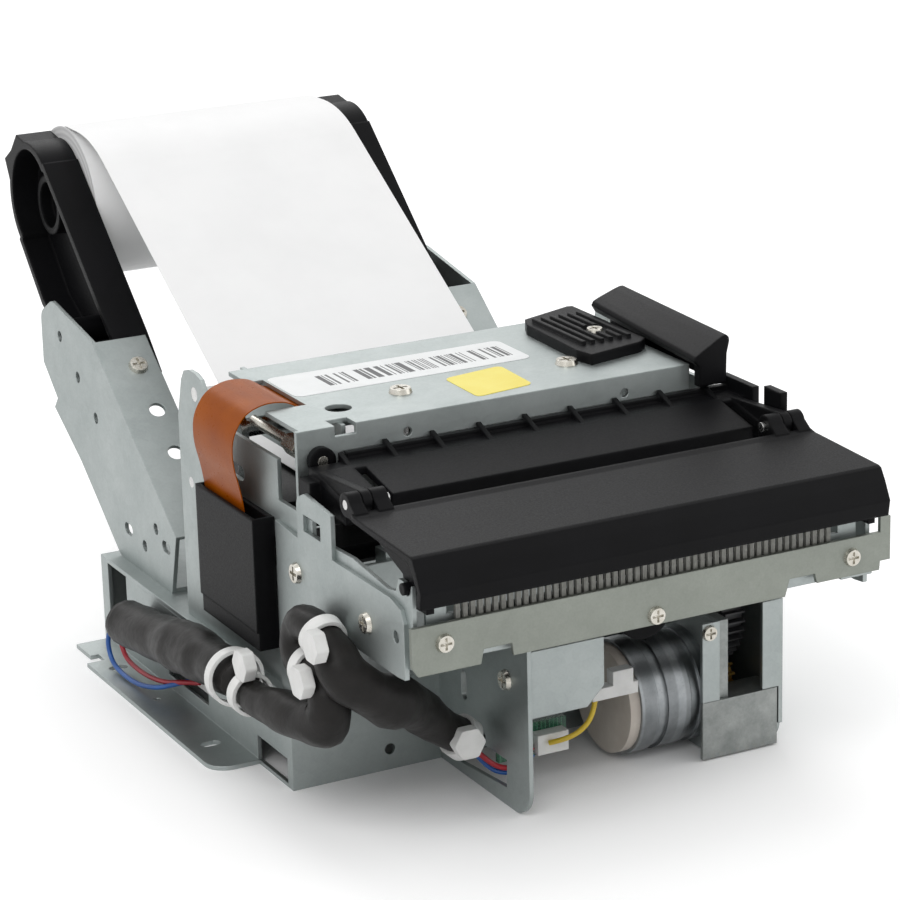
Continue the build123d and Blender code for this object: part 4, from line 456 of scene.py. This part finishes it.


# Flex cable: the part's mesh, cut into fine slices across x and height, stays where the part has it with its lower
# end in the duct
print("flex cable")
flexBend = {
    "replaces": "head_flex_cable", "slot": "flex_orange", "sliceMm": 1.5,
    "held": (-71.0, 102.0, 64.0), "carried": (-52.0, 102.0, 98.5),
}


def bendFlex(name, bend):
    shape = bmesh.new()
    shape.from_mesh(frame["nodes"][bend["replaces"]].data)
    bmesh.ops.remove_doubles(shape, verts=shape.verts[:], dist=weldGap)
    low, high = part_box(bend["replaces"])
    for direction in (Vector((1, 0, 0)), Vector((0, 0, 1))):
        slices = int((high - low).dot(direction) / (bend["sliceMm"] * mm))
        for step in range(1, slices):
            bmesh.ops.bisect_plane(shape, geom=shape.verts[:] + shape.edges[:] + shape.faces[:],
                                   plane_co=low.lerp(high, step / slices), plane_no=direction)
    bmesh.ops.recalc_face_normals(shape, faces=shape.faces[:])
    mesh = bpy.data.meshes.new(name)
    shape.to_mesh(mesh)
    shape.free()
    piece = bpy.data.objects.new(name, mesh)
    piece.data.materials.append(finishes[bend["slot"]])
    bpy.context.collection.objects.link(piece)
    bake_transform(piece)
    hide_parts(bend["replaces"])


bendFlex("flexCable", flexBend)


# Labels on the top plate
print("labels")
topHeight = 97.0
whiteLabel = {
    "corners": [(-50, 96), (20, 96), (20, 116), (-50, 116)], "cornerRadius": 2.5, "thickness": 0.12,
    "barsFrom": (-38.0, 101.0), "barsTo": (17.0, 111.0), "barMm": 0.35, "ink": "3A3C3E",
}
yellowLabel = {
    "corners": [(-9.9, 71.2), (7.9, 73.9), (8.7, 93.6), (-9.6, 90.7)], "cornerRadius": 2.0, "thickness": 0.12,
}


def cutLabel(name, label):
    shape = bmesh.new()
    corners = [shape.verts.new(atPlace(x, depth, topHeight)) for x, depth in label["corners"]]
    shape.faces.new(corners)
    bmesh.ops.bevel(shape, geom=corners, offset=label["cornerRadius"] * mm, segments=5, profile=0.5,
                    affect="VERTICES", material=-1)
    lifted = bmesh.ops.extrude_face_region(shape, geom=shape.faces[:])["geom"]
    bmesh.ops.translate(shape, vec=(0, 0, label["thickness"] * mm),
                        verts=[item for item in lifted if isinstance(item, bmesh.types.BMVert)])
    bmesh.ops.recalc_face_normals(shape, faces=shape.faces[:])
    mesh = bpy.data.meshes.new(name)
    shape.to_mesh(mesh)
    shape.free()
    piece = bpy.data.objects.new(name, mesh)
    bpy.context.collection.objects.link(piece)
    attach(piece, "head_unit")
    return piece


def barredFilm(name, label):
    # coated paper with generic bars, printed in black
    material, tree, shader, colour = grainFinish(name, {
        "dark": "E6E8E8", "light": "F0F2F2", "cloudMm": 12.0, "grainMm": 0.4, "bump": 0.04,
        "roughness": (0.34, 0.44), "edgeMm": 0.05, "shader": {"IOR": 1.45}})
    place = addNode(tree, "TexCoord").outputs["Object"]
    apart = addNode(tree, "SeparateXYZ", links={"Vector": place})
    step = addNode(tree, "Math", {"operation": "SNAP", 1: label["barMm"] * mm}, {0: apart.outputs["X"]})
    pick = addNode(tree, "TexWhiteNoise", {"noise_dimensions": "1D"}, {"W": step.outputs["Value"]})
    dark = addNode(tree, "Math", {"operation": "LESS_THAN", 1: 0.5}, {0: pick.outputs["Value"]})
    low = atPlace(*label["barsFrom"], 0)
    high = atPlace(*label["barsTo"], 0)
    inside = dark.outputs["Value"]
    for axis, start, end in (("X", low.x, high.x), ("Y", low.y, high.y)):
        above = addNode(tree, "Math", {"operation": "GREATER_THAN", 1: start}, {0: apart.outputs[axis]})
        below = addNode(tree, "Math", {"operation": "LESS_THAN", 1: end}, {0: apart.outputs[axis]})
        both = addNode(tree, "Math", {"operation": "MULTIPLY"},
                       {0: above.outputs["Value"], 1: below.outputs["Value"]})
        inside = addNode(tree, "Math", {"operation": "MULTIPLY"},
                         {0: inside, 1: both.outputs["Value"]}).outputs["Value"]
    printed = addNode(tree, "Mix", {"data_type": "RGBA", 7: fromHex(label["ink"])},
                      {0: inside, 6: colour.outputs[2]})
    tree.links.new(printed.outputs[2], shader.inputs["Base Color"])
    return material


whitePiece = cutLabel("whiteLabel", whiteLabel)
whitePiece.data.materials.append(barredFilm("barredFilm", whiteLabel))
yellowPiece = cutLabel("yellowLabel", yellowLabel)
yellowPiece.data.materials.append(grainFinish("yellowFilm", {
    "dark": "F0DC4A", "light": "F6E768", "cloudMm": 10.0, "grainMm": 0.4, "bump": 0.04,
    "roughness": (0.32, 0.42), "edgeMm": 0.05, "shader": {"IOR": 1.45}})[0])


# Floor, backdrop and light
print("stage")
studio = {
    # the glow reach is how far the floor's painted shade under the object reaches
    "floorSize": 1.2, "floorTone": "EFEFEF", "floorGlow": 0.4, "paintedShadeReach": 0.1,
    "worldTone": "FFFFFF", "worldLight": 0.5, "worldShown": 1.0, "lampAim": (0, 0, 0.06),
    "lamps": {
        "keyLamp": {"place": (-0.9, -0.9, 1.5), "size": 1.1, "power": 13.0},
        "fillLamp": {"place": (1.3, -0.8, 0.9), "size": 1.2, "power": 5.0},
        "rearLamp": {"place": (0.2, 1.3, 1.3), "size": 1.1, "power": 8.0},
    },
}


def shownToEye(tree):
    # camera, mirror and glass rays see the pale background; the rest only get its light
    ray = addNode(tree, "LightPath")
    some = addNode(tree, "Math", {"operation": "MAXIMUM"},
                   {0: ray.outputs["Is Camera Ray"], 1: ray.outputs["Is Glossy Ray"]})
    return addNode(tree, "Math", {"operation": "MAXIMUM"},
                   {0: some.outputs["Value"], 1: ray.outputs["Is Transmission Ray"]}).outputs["Value"]


def paperFloor(name, studio):
    material = bpy.data.materials.new(name)
    material.use_nodes = True
    tree = material.node_tree
    tree.nodes.clear()
    matt = addNode(tree, "BsdfDiffuse", {"Color": fromHex(studio["floorTone"])})
    # the glow fades by ambient occlusion under the object and in its hollows: painted shade that keeps its shadow and
    # the hollows dark
    paintedShadeMask = addNode(tree, "AmbientOcclusion", {"samples": 8, "Distance": studio["paintedShadeReach"]})
    strength = addNode(tree, "Math", {"operation": "MULTIPLY", 1: studio["floorGlow"]}, {0: paintedShadeMask.outputs["AO"]})
    glow = addNode(tree, "Emission", links={"Strength": strength.outputs["Value"]})
    seen = addNode(tree, "AddShader", links={0: matt.outputs["BSDF"], 1: glow.outputs["Emission"]})
    both = addNode(tree, "MixShader", links={0: shownToEye(tree), 1: matt.outputs["BSDF"],
                                             2: seen.outputs["Shader"]})
    addNode(tree, "OutputMaterial", links={"Surface": both.outputs["Shader"]})
    return material


floorShape = bmesh.new()
bmesh.ops.create_grid(floorShape, x_segments=1, y_segments=1, size=studio["floorSize"])
floorMesh = bpy.data.meshes.new("floor")
floorShape.to_mesh(floorMesh)
floorShape.free()
floor = bpy.data.objects.new("floor", floorMesh)
floor.data.materials.append(paperFloor("paperFloor", studio))
bpy.context.collection.objects.link(floor)

world = bpy.data.worlds.new("studioWorld")
world.use_nodes = True
bpy.context.scene.world = world
worldTree = world.node_tree
worldTree.nodes.clear()
softLight = addNode(worldTree, "Background", {"Strength": studio["worldLight"]})
softLight.inputs["Color"].default_value = fromHex(studio["worldTone"])
shownWhite = addNode(worldTree, "Background", {"Strength": studio["worldShown"]})
shownWhite.inputs["Color"].default_value = fromHex(studio["worldTone"])
worldMix = addNode(worldTree, "MixShader", links={0: shownToEye(worldTree), 1: softLight.outputs["Background"],
                                                  2: shownWhite.outputs["Background"]})
addNode(worldTree, "OutputWorld", links={"Surface": worldMix.outputs["Shader"]})

for name, lamp in studio["lamps"].items():
    data = bpy.data.lights.new(name, "AREA")
    data.shape = "SQUARE"
    data.size = lamp["size"]
    data.energy = lamp["power"]
    light = bpy.data.objects.new(name, data)
    aim = Vector(studio["lampAim"]) - Vector(lamp["place"])
    light.matrix_world = Matrix.Translation(lamp["place"]) @ aim.to_track_quat("-Z", "Y").to_matrix().to_4x4()
    bpy.context.collection.objects.link(light)

bpy.context.scene.view_settings.view_transform = "Standard"

print("finished")
